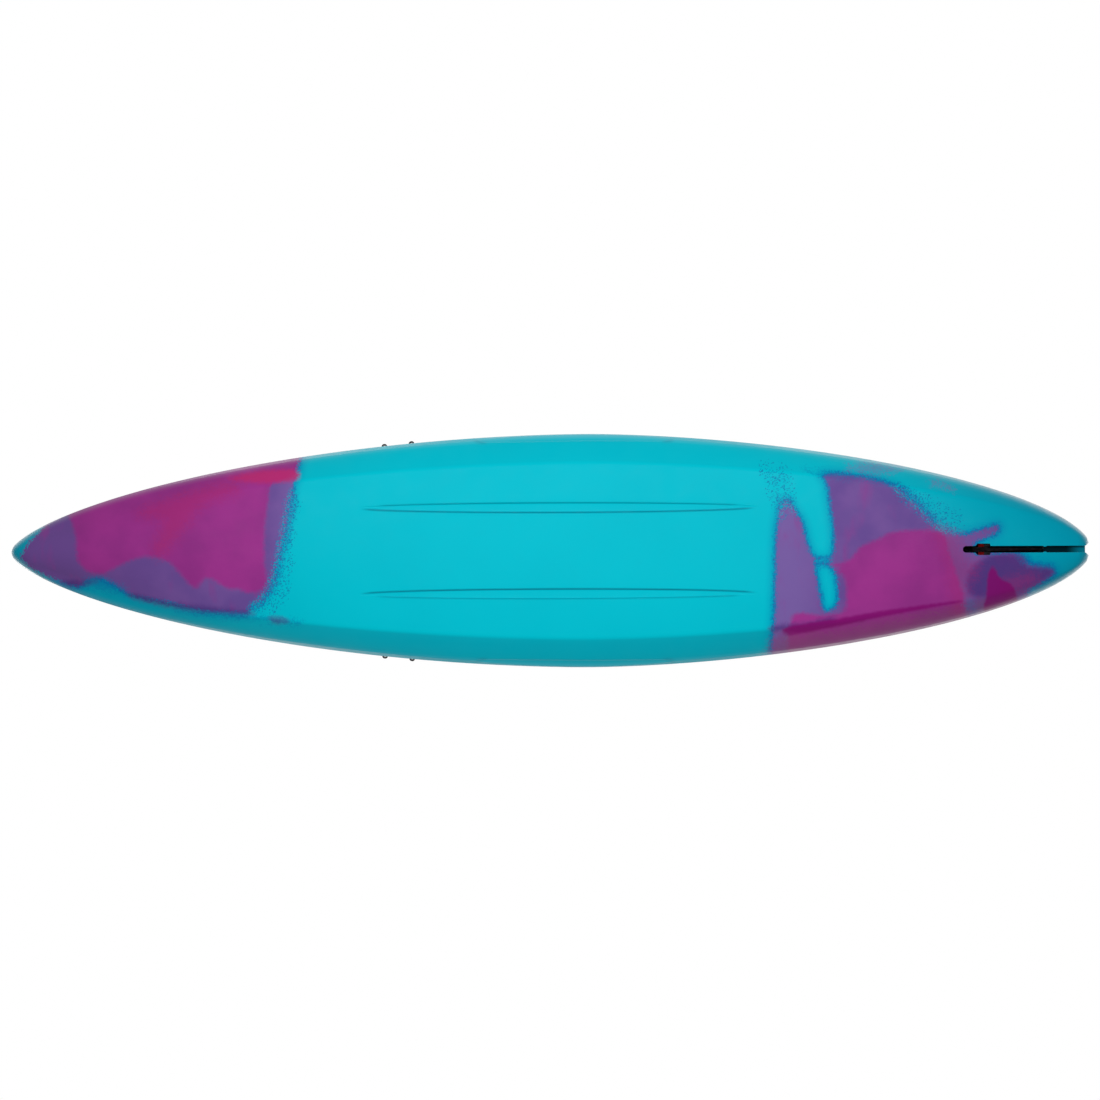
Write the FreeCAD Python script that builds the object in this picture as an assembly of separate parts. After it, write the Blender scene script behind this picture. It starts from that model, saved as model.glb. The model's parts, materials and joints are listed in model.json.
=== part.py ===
import FreeCAD, Part
import math
import os

# Stand up paddleboard, moulded in one hollow piece, with a skeg that swings down from the stern.
# Millimetres. +X points to the bow, +Y to port, +Z up from the flat of the bottom.
V = FreeCAD.Vector

# ---- driving dimensions ----
LENGTH = 3810.0
BEAM = 825.0
WALL = 4.5
WIDEST_FROM_BOW = 0.536 * LENGTH
BOW_TAPER, BOW_FULLNESS = 1.835, 0.654
STERN_TAPER, STERN_FULLNESS = 1.722, 0.567
BOW_BLUNTNESS, STERN_BLUNTNESS = 4.0, 12.0  # how far a true point would lie past each end

DECK_CROWN = 163.0  # deck on the centreline amidships
DECK_FLAT = 148.0  # floor of the standing area
STAND_BOW, STAND_STERN = 550.0, -950.0
STAND_CORNER = 120.0
BOW_ROCKER, STERN_ROCKER = 165.0, 62.0
ROCKER_POWER = 2.2
ROCKER_FORE, ROCKER_AFT = 350.0, -700.0
BOTTOM_SAG = 2.0  # the bottom is drawn this much low, then cut flat at zero
BOW_SHEER, STERN_SHEER = 82.0, 15.0
SHEER_FORE, SHEER_AFT = 500.0, -900.0
EDGE_DROP, EDGE_DROP_AMIDSHIPS = 12.0, 23.0  # deck edge below the crown, and how much more amidships
AMIDSHIPS_FORE, AMIDSHIPS_AFT = (300.0, 1000.0), (-560.0, -1250.0)  # where that extra drop fades
WIDEST_SHARE = 0.58  # height of the widest line, 0 at the keel and 1 at the deck's edge
CHINE_RISE, BOW_CHINE_RISE, STERN_CHINE_RISE = 6.0, 24.0, 10.0
CHINE_SHARE, BOW_CHINE_LOSS = 0.755, 0.13  # half width of the bottom as a share of the half beam
RAIL_ROUND = 45.0
RAIL_SLOPE = math.radians(30)
BOW_NOSE, STERN_NOSE = 70.0, 50.0  # lengths over which the ends round off in side view

FLUTE_X, FLUTE_HALF_LENGTH = -28.0, 705.0
FLUTE_Y, FLUTE_HALF_WIDTH, FLUTE_DEPTH = 153.0, 19.0, 5.0
FLUTE_FLOOR = (-0.8, 0.7)  # inner and outer edge of its floor, as shares of its half width
SCOOP_X, SCOOP_HALF_LENGTH, SCOOP_DEPTH = -87.0, 352.0, 5.0
SCOOP_RAIL_STATION, SCOOP_SPREAD = 0.66, 0.2  # place and half height on the lower rail, 0 at the chine

PIVOT_X, PIVOT_Z = -1525.0, 62.0
SLOT_HALF = 11.5
SLOT_FRONT, SLOT_BACK, SLOT_ROOF = -1461.0, -1744.0, 122.0
GROOVE_DEPTH = 30.0
NOTCH_DEPTH, NOTCH_HALF, NOTCH_OUT = 12.0, 24.0, 8.0  # the notch's mouth lies past the stern
POCKET_HALF, POCKET_TOP = 20.0, 80.0
POCKET_FRONT, POCKET_BACK = 20.0, 34.0  # reach of the pivot's pockets ahead of and behind the pin
SKEG_REACH, SKEG_HUB, SKEG_HUB_HALF, SKEG_BLADE_HALF = 215.0, 33.0, 8.5, 6.0
PIN_RADIUS = 4.0
BUSH_HALF, BUSH_REVEAL, KEEPER_REVEAL = 10.0, 10.0, 6.0  # reveals are measured up from the keel

LINE_RADIUS = 2.0
LINE_X = -1652.0  # where the skeg's line comes up through the deck
HORN_X, HORN_Z = -1652.0, 97.0
LINE_TURN = 11.0
TUBE_RADIUS, TUBE_BORE, FAIRLEAD_RADIUS, FAIRLEAD_FLANGE = 5.0, 3.0, 7.0, 15.0
CLEAT_X, KNOB_X = -1330.0, -1115.0
CLEAT_HALF_LENGTH, CLEAT_HALF_WIDTH, CLEAT_SCREW = 33.0, 8.7, 25.0
KNOB_RADIUS, COLLAR_LENGTH = 11.0, 6.0

PAD_THICK = 6.0
PAD_CORNER = 35.0
PAD_SHARE = 0.59  # half width of the pads as a share of the half beam
FRONT_PAD, REAR_PAD = (500.0, 84.0), (-204.0, -905.0)  # front and back of each
SIDE_PAD_HALF_LENGTH, SIDE_PAD_INNER = 138.0, 58.0
FRONT_CORE, REAR_CORE, CORE_HALF_WIDTH = (505.0, 85.0), (-205.0, -905.0), 32.0
WELL_X, WELL_HALF_LENGTH, WELL_HALF_WIDTH, WELL_DEPTH = -60.0, 95.0, 45.0, 42.0
WELL_CORNER = 30.0
CARRY_BAR_HALF_LENGTH, CARRY_BAR_HALF_WIDTH, CARRY_BAR_LOW, CARRY_BAR_HIGH = 88.0, 13.0, 12.0, 9.0
CARRY_TAB, CARRY_TAB_HALF_WIDTH, CARRY_TAB_THICK, CARRY_SCREW = 30.0, 15.0, 5.0, 17.0

EYE_X_FORE, EYE_X_AFT = 584.0, 488.0
EYE_RAIL_STATION = 0.46  # place on the upper rail, 0 at the widest line and 1 at the deck
EYE_HOLE, EYE_HOLE_HEIGHT, EYE_TOP, EYE_HALF_THICK = 5.5, 9.5, 19.0, 3.5
EYE_BASE = (48.0, 16.0, 3.5)
EYE_SUNK = -1.2  # underside of its base, let into the moulding
EYE_SCREW = 17.0
TIE_EYES = [(720.0, 170.0), (1080.0, 130.0)]

BOW_HANDLE_X, STERN_HANDLE_X = 1705.0, -1800.0
HANDLE_RECESS, HANDLE_RECESS_HALF_WIDTH = 8.0, 78.0
HANDLE_RECESS_BEHIND, HANDLE_RECESS_BEYOND = 28.0, 26.0  # floor behind the pins and past the grip
HANDLE_REACH, HANDLE_PIVOT_HEIGHT = 46.0, 15.0
HANDLE_BRACKET_Y, HANDLE_ARM_Y = 62.0, 50.0
HANDLE_BRACKET_BASE = (40.0, 16.0, 4.0)
HANDLE_LUG_RADIUS, HANDLE_LUG_HALF = 8.0, 4.5
HANDLE_ARM_RADIUS, HANDLE_ARM_HALF = 6.0, 4.0
HANDLE_PIN, HANDLE_PIN_HEAD = 3.0, 5.0
HANDLE_BAR, HANDLE_GRIP, HANDLE_GRIP_HALF = 5.5, 12.5, 40.0
HANDLE_SCREW = 14.0

DRAIN_X, DRAIN_Y = 1420.0, 0.0
DRAIN_BORE, DRAIN_PITCH, DRAIN_THREADS = 10.0, 2.5, 5
DRAIN_SEAT, DRAIN_SEAT_DEPTH, DRAIN_FLANGE = 16.7, 18.5, 23.5
DRAIN_HEAD = 18.0

X_BOW, X_STERN = LENGTH / 2, -LENGTH / 2
X_WIDE = X_BOW - WIDEST_FROM_BOW
CLEAR = 0.3  # running room between fixed pieces
OUTSIDE_LOW, OUTSIDE_HIGH = -30.0, 400.0  # heights below and above everything


# ---- the board's lines ----
def smooth(start, end, x):
    """0 before start, 1 after end, and an even S between them."""
    u = min(1.0, max(0.0, (x - start) / (end - start)))
    return u * u * (3 - 2 * u)


def rise(x, start, end, height, power):
    return height * max(0.0, (x - start) / (end - start)) ** power


def half_beam(x):
    """Half the width at station x, from a rounded power curve for each end."""
    if x >= X_WIDE:
        u = (X_BOW + BOW_BLUNTNESS - x) / (X_BOW + BOW_BLUNTNESS - X_WIDE)
        return BEAM / 2 * (1 - (1 - u) ** BOW_TAPER) ** BOW_FULLNESS
    u = (x - X_STERN + STERN_BLUNTNESS) / (X_WIDE - X_STERN + STERN_BLUNTNESS)
    return BEAM / 2 * (1 - (1 - u) ** STERN_TAPER) ** STERN_FULLNESS


def nose(x):
    """1 along the board, falling to a fraction at each end as the side view rounds off."""
    bow = (X_BOW + BOW_BLUNTNESS - x) / BOW_NOSE
    stern = (x - X_STERN + STERN_BLUNTNESS) / STERN_NOSE
    u = min(1.0, bow, stern)
    return math.sqrt(1 - (1 - u) ** 2)


def lines(x, inset=0.0):
    """The section's sizes at station x, moved inwards by inset."""
    keel = rise(x, ROCKER_FORE, X_BOW, BOW_ROCKER, ROCKER_POWER)
    keel += rise(x, ROCKER_AFT, X_STERN, STERN_ROCKER, ROCKER_POWER) - BOTTOM_SAG
    deck = DECK_CROWN + rise(x, SHEER_FORE, X_BOW, BOW_SHEER, 2) + rise(x, SHEER_AFT, X_STERN, STERN_SHEER, 2)
    amidships = (1 - smooth(*AMIDSHIPS_FORE, x)) * (1 - smooth(*AMIDSHIPS_AFT, x))
    edge = deck - EDGE_DROP - EDGE_DROP_AMIDSHIPS * amidships
    widest = keel + WIDEST_SHARE * (edge - keel)
    chine = keel + CHINE_RISE
    chine += BOW_CHINE_RISE * smooth(500, 1800, x) + STERN_CHINE_RISE * smooth(-800, -1800, x)
    k = nose(x)
    keel, deck, edge, chine = (widest + (z - widest) * k for z in (keel, deck, edge, chine))
    beam = half_beam(x)
    chine_share = CHINE_SHARE - BOW_CHINE_LOSS * smooth(1200, X_BOW, x)
    half = beam - inset
    return {
        "half": half,
        "chine_y": chine_share * beam - inset / 2,
        "edge_y": half - min(RAIL_ROUND, 0.35 * beam),
        "keel": keel + inset,
        "chine": chine + inset,
        "widest": widest,
        "edge": edge - inset,
        "deck": deck - inset,
    }


def bezier(x, points):
    curve = Part.BezierCurve()
    curve.setPoles([V(x, y, z) for y, z in points])
    return curve.toShape()


def rail_poles(s):
    """Control points of the lower and upper rail on the port side."""
    slope = min((s["half"] - s["chine_y"]) * math.tan(RAIL_SLOPE), 0.8 * (s["widest"] - s["chine"]))
    lower = [(s["chine_y"], s["chine"]), (s["half"], s["chine"] + slope), (s["half"], s["widest"])]
    upper = [(s["half"], s["widest"]), (s["half"], s["edge"]), (s["edge_y"], s["edge"])]
    return lower, upper


def deck_poles(s):
    """Control points of the crowned deck, port edge to starboard edge."""
    y, z = s["edge_y"], s["edge"]
    top = (s["deck"] - 0.125 * z) / 0.875
    return [(y, z), (0.72 * y, top), (0.0, top), (-0.72 * y, top), (-y, z)]


def section(x, inset=0.0):
    s = lines(x, inset)
    lower, upper = rail_poles(s)
    mirror = [[(-y, z) for y, z in reversed(poles)] for poles in (upper, lower)]
    bottom = [(-s["chine_y"], s["chine"]), (0.0, 2 * s["keel"] - s["chine"]), (s["chine_y"], s["chine"])]
    return Part.Wire([bezier(x, p) for p in [bottom, lower, upper, deck_poles(s)] + mirror])


def stations(end_gap):
    """Places of the sections: close together at the ends, where the outline turns fastest."""
    bow = [X_BOW - end_gap - d for d in (0, 9, 30, 70, 140, 250, 420, 650, 920, 1200, 1500, 1750)]
    middle = [0.0, -200.0, -420.0]
    stern = [X_STERN + end_gap + d for d in (1250, 1000, 720, 480, 300, 170, 80, 30, 9, 0)]
    return bow + middle + stern


def hull_form(inset=0.0, end_gap=0.0):
    wires = [section(x, inset) for x in stations(end_gap)]
    return Part.makeLoft(wires, True, False)


def bottom_height(x, y):
    """Height of the uncut bottom between the chines."""
    s = lines(x)
    return max(0.0, s["keel"] + (s["chine"] - s["keel"]) * (y / s["chine_y"]) ** 2)


def deck_height(x, y):
    """Height of the uncut deck at a point inside the deck's edge."""
    poles = deck_poles(lines(x))
    low, high = 0.0, 1.0
    for _ in range(40):
        t = (low + high) / 2
        weights = [math.comb(4, i) * t**i * (1 - t) ** (4 - i) for i in range(5)]
        if sum(w * p[0] for w, p in zip(weights, poles)) > y:
            low = t
        else:
            high = t
    return sum(w * p[1] for w, p in zip(weights, poles))


# ---- small shapes and places ----
def box(x, y, z):
    """A box from three (low, high) pairs."""
    return Part.makeBox(x[1] - x[0], y[1] - y[0], z[1] - z[0], V(x[0], y[0], z[0]))


def rod(radius, start, end):
    way = V(*end) - V(*start)
    return Part.makeCylinder(radius, way.Length, V(*start), way)


def prism(points, z_low, z_high):
    """A plan outline raised between two heights."""
    face = Part.Face(Part.makePolygon([V(x, y, z_low) for x, y in points + points[:1]]))
    return face.extrude(V(0, 0, z_high - z_low))


def side_plate(points, half):
    """A side-view outline (x, z) with that half thickness each side of the centreline."""
    face = Part.Face(Part.makePolygon([V(x, -half, z) for x, z in points + points[:1]]))
    return face.extrude(V(0, 2 * half, 0))


def upright_edges(shape):
    return [e for e in shape.Edges if abs(e.tangentAt(e.FirstParameter).z) > 0.99]


def soft_block(x, y, z, corner):
    """A box whose upright corners are rounded."""
    block = box(x, y, z)
    return block.makeFillet(corner, upright_edges(block))


def frame(point, normal, forward=V(1, 0, 0)):
    """A placement whose local Z is the normal and local X runs forward."""
    return FreeCAD.Placement(point, FreeCAD.Rotation(forward, V(), normal, "ZXY"))


def placed(shape, where):
    copy = shape.copy()
    copy.Placement = where.multiply(copy.Placement)
    return copy


def deck_frame(x, y, level=False):
    """Where a fitting stands on the deck. A level frame keeps the centreline's slope only."""
    step = 2.0
    point = V(x, y, deck_height(x, y))
    along = V(2 * step, 0, deck_height(x + step, y) - deck_height(x - step, y))
    tilt = 0.0 if level else deck_height(x, y + step) - deck_height(x, y - step)
    return frame(point, along.cross(V(0, 2 * step, tilt)).normalize(), along)


def rail_point(x, side, t, upper=False):
    """A point of the lower or upper rail, and the direction up the girth there."""
    a, b, c = rail_poles(lines(x))[1 if upper else 0]
    y, z = ((1 - t) ** 2 * a[i] + 2 * t * (1 - t) * b[i] + t * t * c[i] for i in (0, 1))
    slope_y, slope_z = ((1 - t) * (b[i] - a[i]) + t * (c[i] - b[i]) for i in (0, 1))
    return V(x, side * y, z), V(0, side * slope_y, slope_z).normalize()


def rail_frame(x, side):
    """Where an eye stands on the upper rail."""
    point, girth = rail_point(x, side, EYE_RAIL_STATION, True)
    ahead = rail_point(x + 5, side, EYE_RAIL_STATION, True)[0]
    behind = rail_point(x - 5, side, EYE_RAIL_STATION, True)[0]
    along = ahead - behind
    return frame(point, (along.cross(girth) * -side).normalize(), along)


def eye_places():
    """Name and frame of each strap eye, the rail's four first."""
    rail = [
        (f"eye_{name}_{end}", rail_frame(x, side))
        for name, side in (("port", 1), ("starboard", -1))
        for end, x in (("front", EYE_X_FORE), ("rear", EYE_X_AFT))
    ]
    deck = [
        (f"tie_eye_{name}_{end}", deck_frame(x, side * y))
        for name, side in (("port", 1), ("starboard", -1))
        for end, (x, y) in zip(("rear", "front"), TIE_EYES)
    ]
    return rail + deck


def handle_frame(x):
    """The floor of a handle's recess, square to the centreline's deck."""
    where = deck_frame(x, 0.0, level=True)
    return where.multiply(FreeCAD.Placement(V(0, 0, -HANDLE_RECESS), FreeCAD.Rotation()))


def handle_places():
    """Frame and folding direction of the two end handles. Both fold towards amidships."""
    return {"bow": (handle_frame(BOW_HANDLE_X), -1), "stern": (handle_frame(STERN_HANDLE_X), 1)}


def line_ends():
    """Start of the skeg line's run over the deck, and its unit direction towards the knob."""
    start = V(LINE_X + LINE_TURN, 0, deck_height(LINE_X, 0) + 4 + LINE_TURN)
    end = V(KNOB_X, 0, deck_height(KNOB_X, 0) + 16)
    return start, (end - start).normalize()


# ---- fasteners ----
SCREW_HEAD, SCREW_HEAD_HEIGHT, SCREW_SHANK, SCREW_LENGTH = 4.6, 2.6, 2.4, 15.0
SCREW_HOLE = SCREW_SHANK + 0.3
CROSS_HALF_LENGTH, CROSS_HALF_WIDTH, CROSS_DEPTH = 2.6, 0.5, 1.4
INSERT_RADIUS, INSERT_LENGTH, INSERT_TOP = 4.0, 11.0, -1.5


def screw(head_z):
    """A pan-head screw with its head standing on local height head_z."""
    top = head_z + SCREW_HEAD_HEIGHT
    head = Part.makeCylinder(SCREW_HEAD, SCREW_HEAD_HEIGHT, V(0, 0, head_z))
    head = head.makeFillet(1.4, [e for e in head.Edges if e.CenterOfMass.z > top - 0.1])
    long, short, deep = (
        (-CROSS_HALF_LENGTH, CROSS_HALF_LENGTH),
        (-CROSS_HALF_WIDTH, CROSS_HALF_WIDTH),
        (top - CROSS_DEPTH, top + 1),
    )
    cross = [box(long, short, deep), box(short, long, deep)]
    shank = Part.makeCylinder(SCREW_SHANK, SCREW_LENGTH, V(0, 0, head_z - SCREW_LENGTH))
    return shank.fuse(head).removeSplitter().cut(Part.makeCompound(cross))


def screws(head_z, places):
    return Part.makeCompound([placed(screw(head_z), place) for place in places])


def insert():
    """A threaded insert moulded into the deck under a screw."""
    outer = Part.makeCylinder(INSERT_RADIUS, INSERT_LENGTH, V(0, 0, INSERT_TOP - INSERT_LENGTH))
    return outer.cut(Part.makeCylinder(SCREW_SHANK + 0.1, 40, V(0, 0, -30)))


def at(where, x, y, z=0.0):
    return where.multiply(FreeCAD.Placement(V(x, y, z), FreeCAD.Rotation()))


def eye_screw_places(where):
    return [at(where, side * EYE_SCREW, 0) for side in (-1, 1)]


def handle_screw_places(where):
    spots = [(i * HANDLE_SCREW, j * HANDLE_BRACKET_Y) for i in (-1, 1) for j in (-1, 1)]
    return [at(where, x, y) for x, y in spots]


def grip_screw_places():
    where = FreeCAD.Placement(V(WELL_X, 0, DECK_FLAT), FreeCAD.Rotation())
    return [at(where, side * (WELL_HALF_LENGTH + CARRY_SCREW), 0) for side in (-1, 1)]


def cleat_screw_places():
    where = deck_frame(CLEAT_X, 0)
    return [at(where, side * CLEAT_SCREW, 0) for side in (-1, 1)]


def screw_holes(shape, places):
    """The shape with a clearance hole for a screw at each place."""
    for place in places:
        shape = shape.cut(placed(Part.makeCylinder(SCREW_HOLE, 30, V(0, 0, -10)), place))
    return shape


def all_screw_places():
    places = [p for _, where in eye_places() for p in eye_screw_places(where)]
    places += [p for where, _ in handle_places().values() for p in handle_screw_places(where)]
    return places + grip_screw_places() + cleat_screw_places()


# ---- the moulded shell ----
def standing_area(grow=0.0):
    x = (STAND_STERN - grow, STAND_BOW + grow)
    return soft_block(x, (-BEAM, BEAM), (DECK_FLAT - grow, OUTSIDE_HIGH), STAND_CORNER)


def flute(side, grow=0.0):
    """A long shallow channel that follows the bottom, steepest on its inner wall."""
    wires = []
    for u in (-0.999, -0.96, -0.8, -0.45, 0.0, 0.45, 0.8, 0.96, 0.999):
        swell = math.sqrt(1 - u * u)
        half = FLUTE_HALF_WIDTH * swell + grow
        depth = FLUTE_DEPTH * swell * swell + grow
        x = FLUTE_X + u * (FLUTE_HALF_LENGTH + grow)
        bottom = bottom_height(x, FLUTE_Y)
        inner, outer = (share * half for share in FLUTE_FLOOR)
        outline = [(-half, -3), (half, -3), (outer, depth), (inner, depth)]
        points = [V(x, side * (FLUTE_Y + y), bottom + z) for y, z in outline]
        wires.append(Part.makePolygon(points + points[:1]))
    return Part.makeLoft(wires, True, True)


def side_scoop(side, grow=0.0):
    """A long shallow hollow in the lower rail, where water leaves the side."""
    wires = []
    for u in (-0.999, -0.97, -0.85, -0.5, 0.0, 0.5, 0.85, 0.97, 0.999):
        swell = math.sqrt(1 - u * u)
        x = SCOOP_X + u * (SCOOP_HALF_LENGTH + grow)
        outline = []
        for step, depth in ((-1, -3), (1, -3), (0.5, SCOOP_DEPTH * swell), (-0.5, SCOOP_DEPTH * swell)):
            point, girth = rail_point(x, side, SCOOP_RAIL_STATION + step * SCOOP_SPREAD * swell)
            inwards = V(0, -side * girth.z, side * girth.y)
            outline.append(point + inwards * (depth + grow) + girth * step * grow)
        wires.append(Part.makePolygon(outline + outline[:1]))
    return Part.makeLoft(wires, True, True)


def skeg_slot(grow=0.0):
    """The space that holds the skeg, with a rounded front end."""
    half = SLOT_HALF + grow
    low, high = OUTSIDE_LOW, SLOT_ROOF + grow
    body = box((SLOT_BACK - grow, SLOT_FRONT - SLOT_HALF), (-half, half), (low, high))
    return body.fuse(Part.makeCylinder(half, high - low, V(SLOT_FRONT - SLOT_HALF, 0, low))).removeSplitter()


def pivot_pocket(grow=0.0):
    """Side pockets that hold the pivot's bushes and keepers."""
    deep, shallow = POCKET_HALF + grow, SLOT_HALF
    front, back = PIVOT_X + POCKET_FRONT + grow, PIVOT_X - POCKET_BACK - grow
    port = [(front, shallow), (front - 8, deep), (back + 3, deep), (back, shallow)]
    outline = port + [(x, -y) for x, y in reversed(port)]
    return prism(outline, OUTSIDE_LOW, POCKET_TOP + grow)


def stern_groove(grow=0.0):
    """The shallower channel from the skeg's space to the stern, and the notch in the stern itself."""
    half = SLOT_HALF + grow
    front, back = SLOT_BACK + 1, X_STERN - 20
    roof = [(x, lines(x)["keel"] + GROOVE_DEPTH + grow) for x in (front, X_STERN + 25)]
    outline = [(front, OUTSIDE_LOW), roof[0], roof[1], (back, roof[1][1]), (back, OUTSIDE_LOW)]
    channel = side_plate(outline, half)
    neck, mouth = X_STERN + NOTCH_DEPTH + grow, X_STERN - NOTCH_OUT
    wide = NOTCH_HALF + grow
    wedge = [(neck, half), (mouth, wide), (mouth, -wide), (neck, -half)]
    return channel.fuse(prism(wedge, OUTSIDE_LOW, OUTSIDE_HIGH))


def handle_recess(where, fold, grow=0.0):
    """The level floor a folded handle lies over."""
    behind, beyond = HANDLE_RECESS_BEHIND + grow, HANDLE_REACH + HANDLE_RECESS_BEYOND + grow
    half = HANDLE_RECESS_HALF_WIDTH + grow
    block = soft_block(sorted((-fold * behind, fold * beyond)), (-half, half), (-grow, 60), 22)
    return placed(block, where)


def carry_well(grow=0.0):
    """The hand well under the carry grip."""
    x = (WELL_X - WELL_HALF_LENGTH - grow, WELL_X + WELL_HALF_LENGTH + grow)
    y = (-WELL_HALF_WIDTH - grow, WELL_HALF_WIDTH + grow)
    return soft_block(x, y, (DECK_FLAT - WELL_DEPTH - grow, OUTSIDE_HIGH), WELL_CORNER + grow)


def seat(where, half_length, half_width):
    """A flat let into the shell for a fitting's base, its floor on the place's own floor."""
    x, y = half_length + CLEAR, half_width + CLEAR
    return placed(box((-x, x), (-y, y), (0, 28)), where)


def fitting_seats():
    length, width, _ = EYE_BASE
    seats = [seat(at(where, 0, 0, EYE_SUNK), length / 2, width / 2) for _, where in eye_places()]
    return seats + [seat(deck_frame(CLEAT_X, 0), CLEAT_HALF_LENGTH + 1, CLEAT_HALF_WIDTH + CLEAR)]


def drain_frame():
    return deck_frame(DRAIN_X, DRAIN_Y)


def shell_spaces(grow=0.0):
    """Everything that is let into the shell. Grown by the wall, it is what the hollow keeps clear of."""
    spaces = [standing_area(grow)]
    for side in (-1, 1):
        spaces += [flute(side, grow), side_scoop(side, grow)]
    spaces += [skeg_slot(grow), pivot_pocket(grow), stern_groove(grow), carry_well(grow)]
    spaces += [handle_recess(where, fold, grow) for where, fold in handle_places().values()]
    return spaces


def bosses():
    """Solid posts under the screws, the drain and the line's way through the deck."""
    screw_post = Part.makeCylinder(2 * INSERT_RADIUS, 40, V(0, 0, -18))
    drain_post = Part.makeCylinder(DRAIN_FLANGE + 0.5, 40, V(0, 0, -22))
    posts = [placed(screw_post, p) for p in all_screw_places()]
    return posts + [placed(drain_post, drain_frame()), Part.makeCylinder(12, 90, V(LINE_X, 0, SLOT_ROOF))]


def hollow():
    """The air inside the board."""
    inside = hull_form(WALL, 14.0)
    flat = box((X_STERN, X_BOW), (-BEAM, BEAM), (-60, WALL))
    for space in [flat] + shell_spaces(WALL) + bosses():
        inside = inside.cut(space)
    return inside


def shell_holes():
    """Round holes for the inserts, the drain's collar, the line's tube and fairlead, and the pin's ends."""
    drill = Part.makeCylinder(INSERT_RADIUS + 0.1, 14, V(0, 0, -14))
    holes = [placed(drill, p) for p in all_screw_places()]
    for radius, depth in ((DRAIN_SEAT, DRAIN_SEAT_DEPTH + 1.5), (DRAIN_FLANGE + 0.2, 1.0)):
        holes.append(placed(Part.makeCylinder(radius + CLEAR, depth + 10, V(0, 0, -depth)), drain_frame()))
    top = deck_height(LINE_X, 0)
    for radius, low in (
        (TUBE_RADIUS + 0.1, SLOT_ROOF - 5),
        (FAIRLEAD_RADIUS + 0.2, top - 12),
        (FAIRLEAD_FLANGE + CLEAR, top - 1),
    ):
        holes.append(rod(radius, (LINE_X, 0, low), (LINE_X, 0, 200)))
    for side in (-1, 1):
        y = sorted((side * (POCKET_HALF - 1), side * (POCKET_HALF + 4)))
        holes.append(rod(PIN_RADIUS + 0.1, (PIVOT_X, y[0], PIVOT_Z), (PIVOT_X, y[1], PIVOT_Z)))
    return Part.makeCompound(holes)


def hull_shell():
    flat = box((X_STERN - 50, X_BOW + 50), (-BEAM, BEAM), (-60, 0))
    shell = hull_form()
    for space in [flat] + shell_spaces() + fitting_seats():
        shell = shell.cut(space)
    return shell.cut(hollow()).cut(shell_holes())


# ---- the skeg and its pivot ----
def skeg_outline():
    """Side view of the stowed skeg: straight leading edge along the slot, curved trailing edge."""

    def spot(x, z):
        return V(PIVOT_X + x, 0, PIVOT_Z + z)

    tip, shoulder, crest, toe = spot(-SKEG_REACH, -10), spot(-140, 50), spot(0, SKEG_HUB), spot(0, -SKEG_HUB)
    curves = [
        Part.Arc(tip, spot(-192, 30), shoulder),
        Part.Arc(shoulder, spot(-60, 48), crest),
        Part.Arc(crest, spot(SKEG_HUB, 0), toe),
        Part.LineSegment(toe, tip),
    ]
    return Part.Wire([curve.toShape() for curve in curves])


def skeg_blade():
    plate = Part.Face(skeg_outline()).extrude(V(0, 2 * SKEG_BLADE_HALF, 0))
    plate.translate(V(0, -SKEG_BLADE_HALF, 0))
    hub = rod(SKEG_HUB, (PIVOT_X, -SKEG_HUB_HALF, PIVOT_Z), (PIVOT_X, SKEG_HUB_HALF, PIVOT_Z))
    blade = plate.fuse(hub)
    for side in (-1, 1):
        # the trailing edge is thinned to a foil
        y = side * SKEG_BLADE_HALF
        wedge = [(PIVOT_X - 45, y), (PIVOT_X - SKEG_REACH - 20, y), (PIVOT_X - SKEG_REACH - 20, y - side * 4)]
        blade = blade.cut(prism(wedge, 0, 200))
    channel = box((PIVOT_X - 32, PIVOT_X + 24), (-2.6, 2.6), (PIVOT_Z - SKEG_HUB - 5, PIVOT_Z - SKEG_HUB + 5))
    blade = blade.cut(channel)
    blade = blade.cut(rod(PIN_RADIUS + 0.08, (PIVOT_X, -20, PIVOT_Z), (PIVOT_X, 20, PIVOT_Z)))
    return blade.cut(rod(LINE_RADIUS + 0.3, (HORN_X, 0, HORN_Z), (HORN_X, 0, HORN_Z + 40)))


def skeg_pin():
    reach = POCKET_HALF + 3.5
    return rod(PIN_RADIUS, (PIVOT_X, -reach, PIVOT_Z), (PIVOT_X, reach, PIVOT_Z))


def pivot_bush(side):
    """Red bearing block that carries the pin in the front of a pocket."""
    y = sorted((side * (SKEG_HUB_HALF + 0.4), side * (POCKET_HALF - CLEAR)))
    low = lines(PIVOT_X)["keel"] + BUSH_REVEAL
    block = box((PIVOT_X - BUSH_HALF, PIVOT_X + BUSH_HALF), y, (low, POCKET_TOP - CLEAR))
    return block.cut(rod(PIN_RADIUS + 0.05, (PIVOT_X, -30, PIVOT_Z), (PIVOT_X, 30, PIVOT_Z)))


def pivot_keeper(side):
    """Black wedge behind the bush that locks it in the pocket."""
    inner, outer = SLOT_HALF - 1.5, POCKET_HALF - CLEAR
    front, back = PIVOT_X - BUSH_HALF - 0.4, PIVOT_X - POCKET_BACK + 1.5
    outline = [(front, inner), (front, outer), (back + 2.5, outer), (back, inner)]
    low = lines(PIVOT_X - 20)["keel"] + KEEPER_REVEAL
    return prism([(x, side * y) for x, y in outline], low, POCKET_TOP - CLEAR)


# ---- the skeg's line ----
def line_tube():
    top = deck_height(LINE_X, 0) - 13
    bottom = SLOT_ROOF + 0.5
    tube = rod(TUBE_RADIUS, (LINE_X, 0, bottom), (LINE_X, 0, top))
    return tube.cut(rod(TUBE_BORE, (LINE_X, 0, 0), (LINE_X, 0, 300)))


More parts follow.
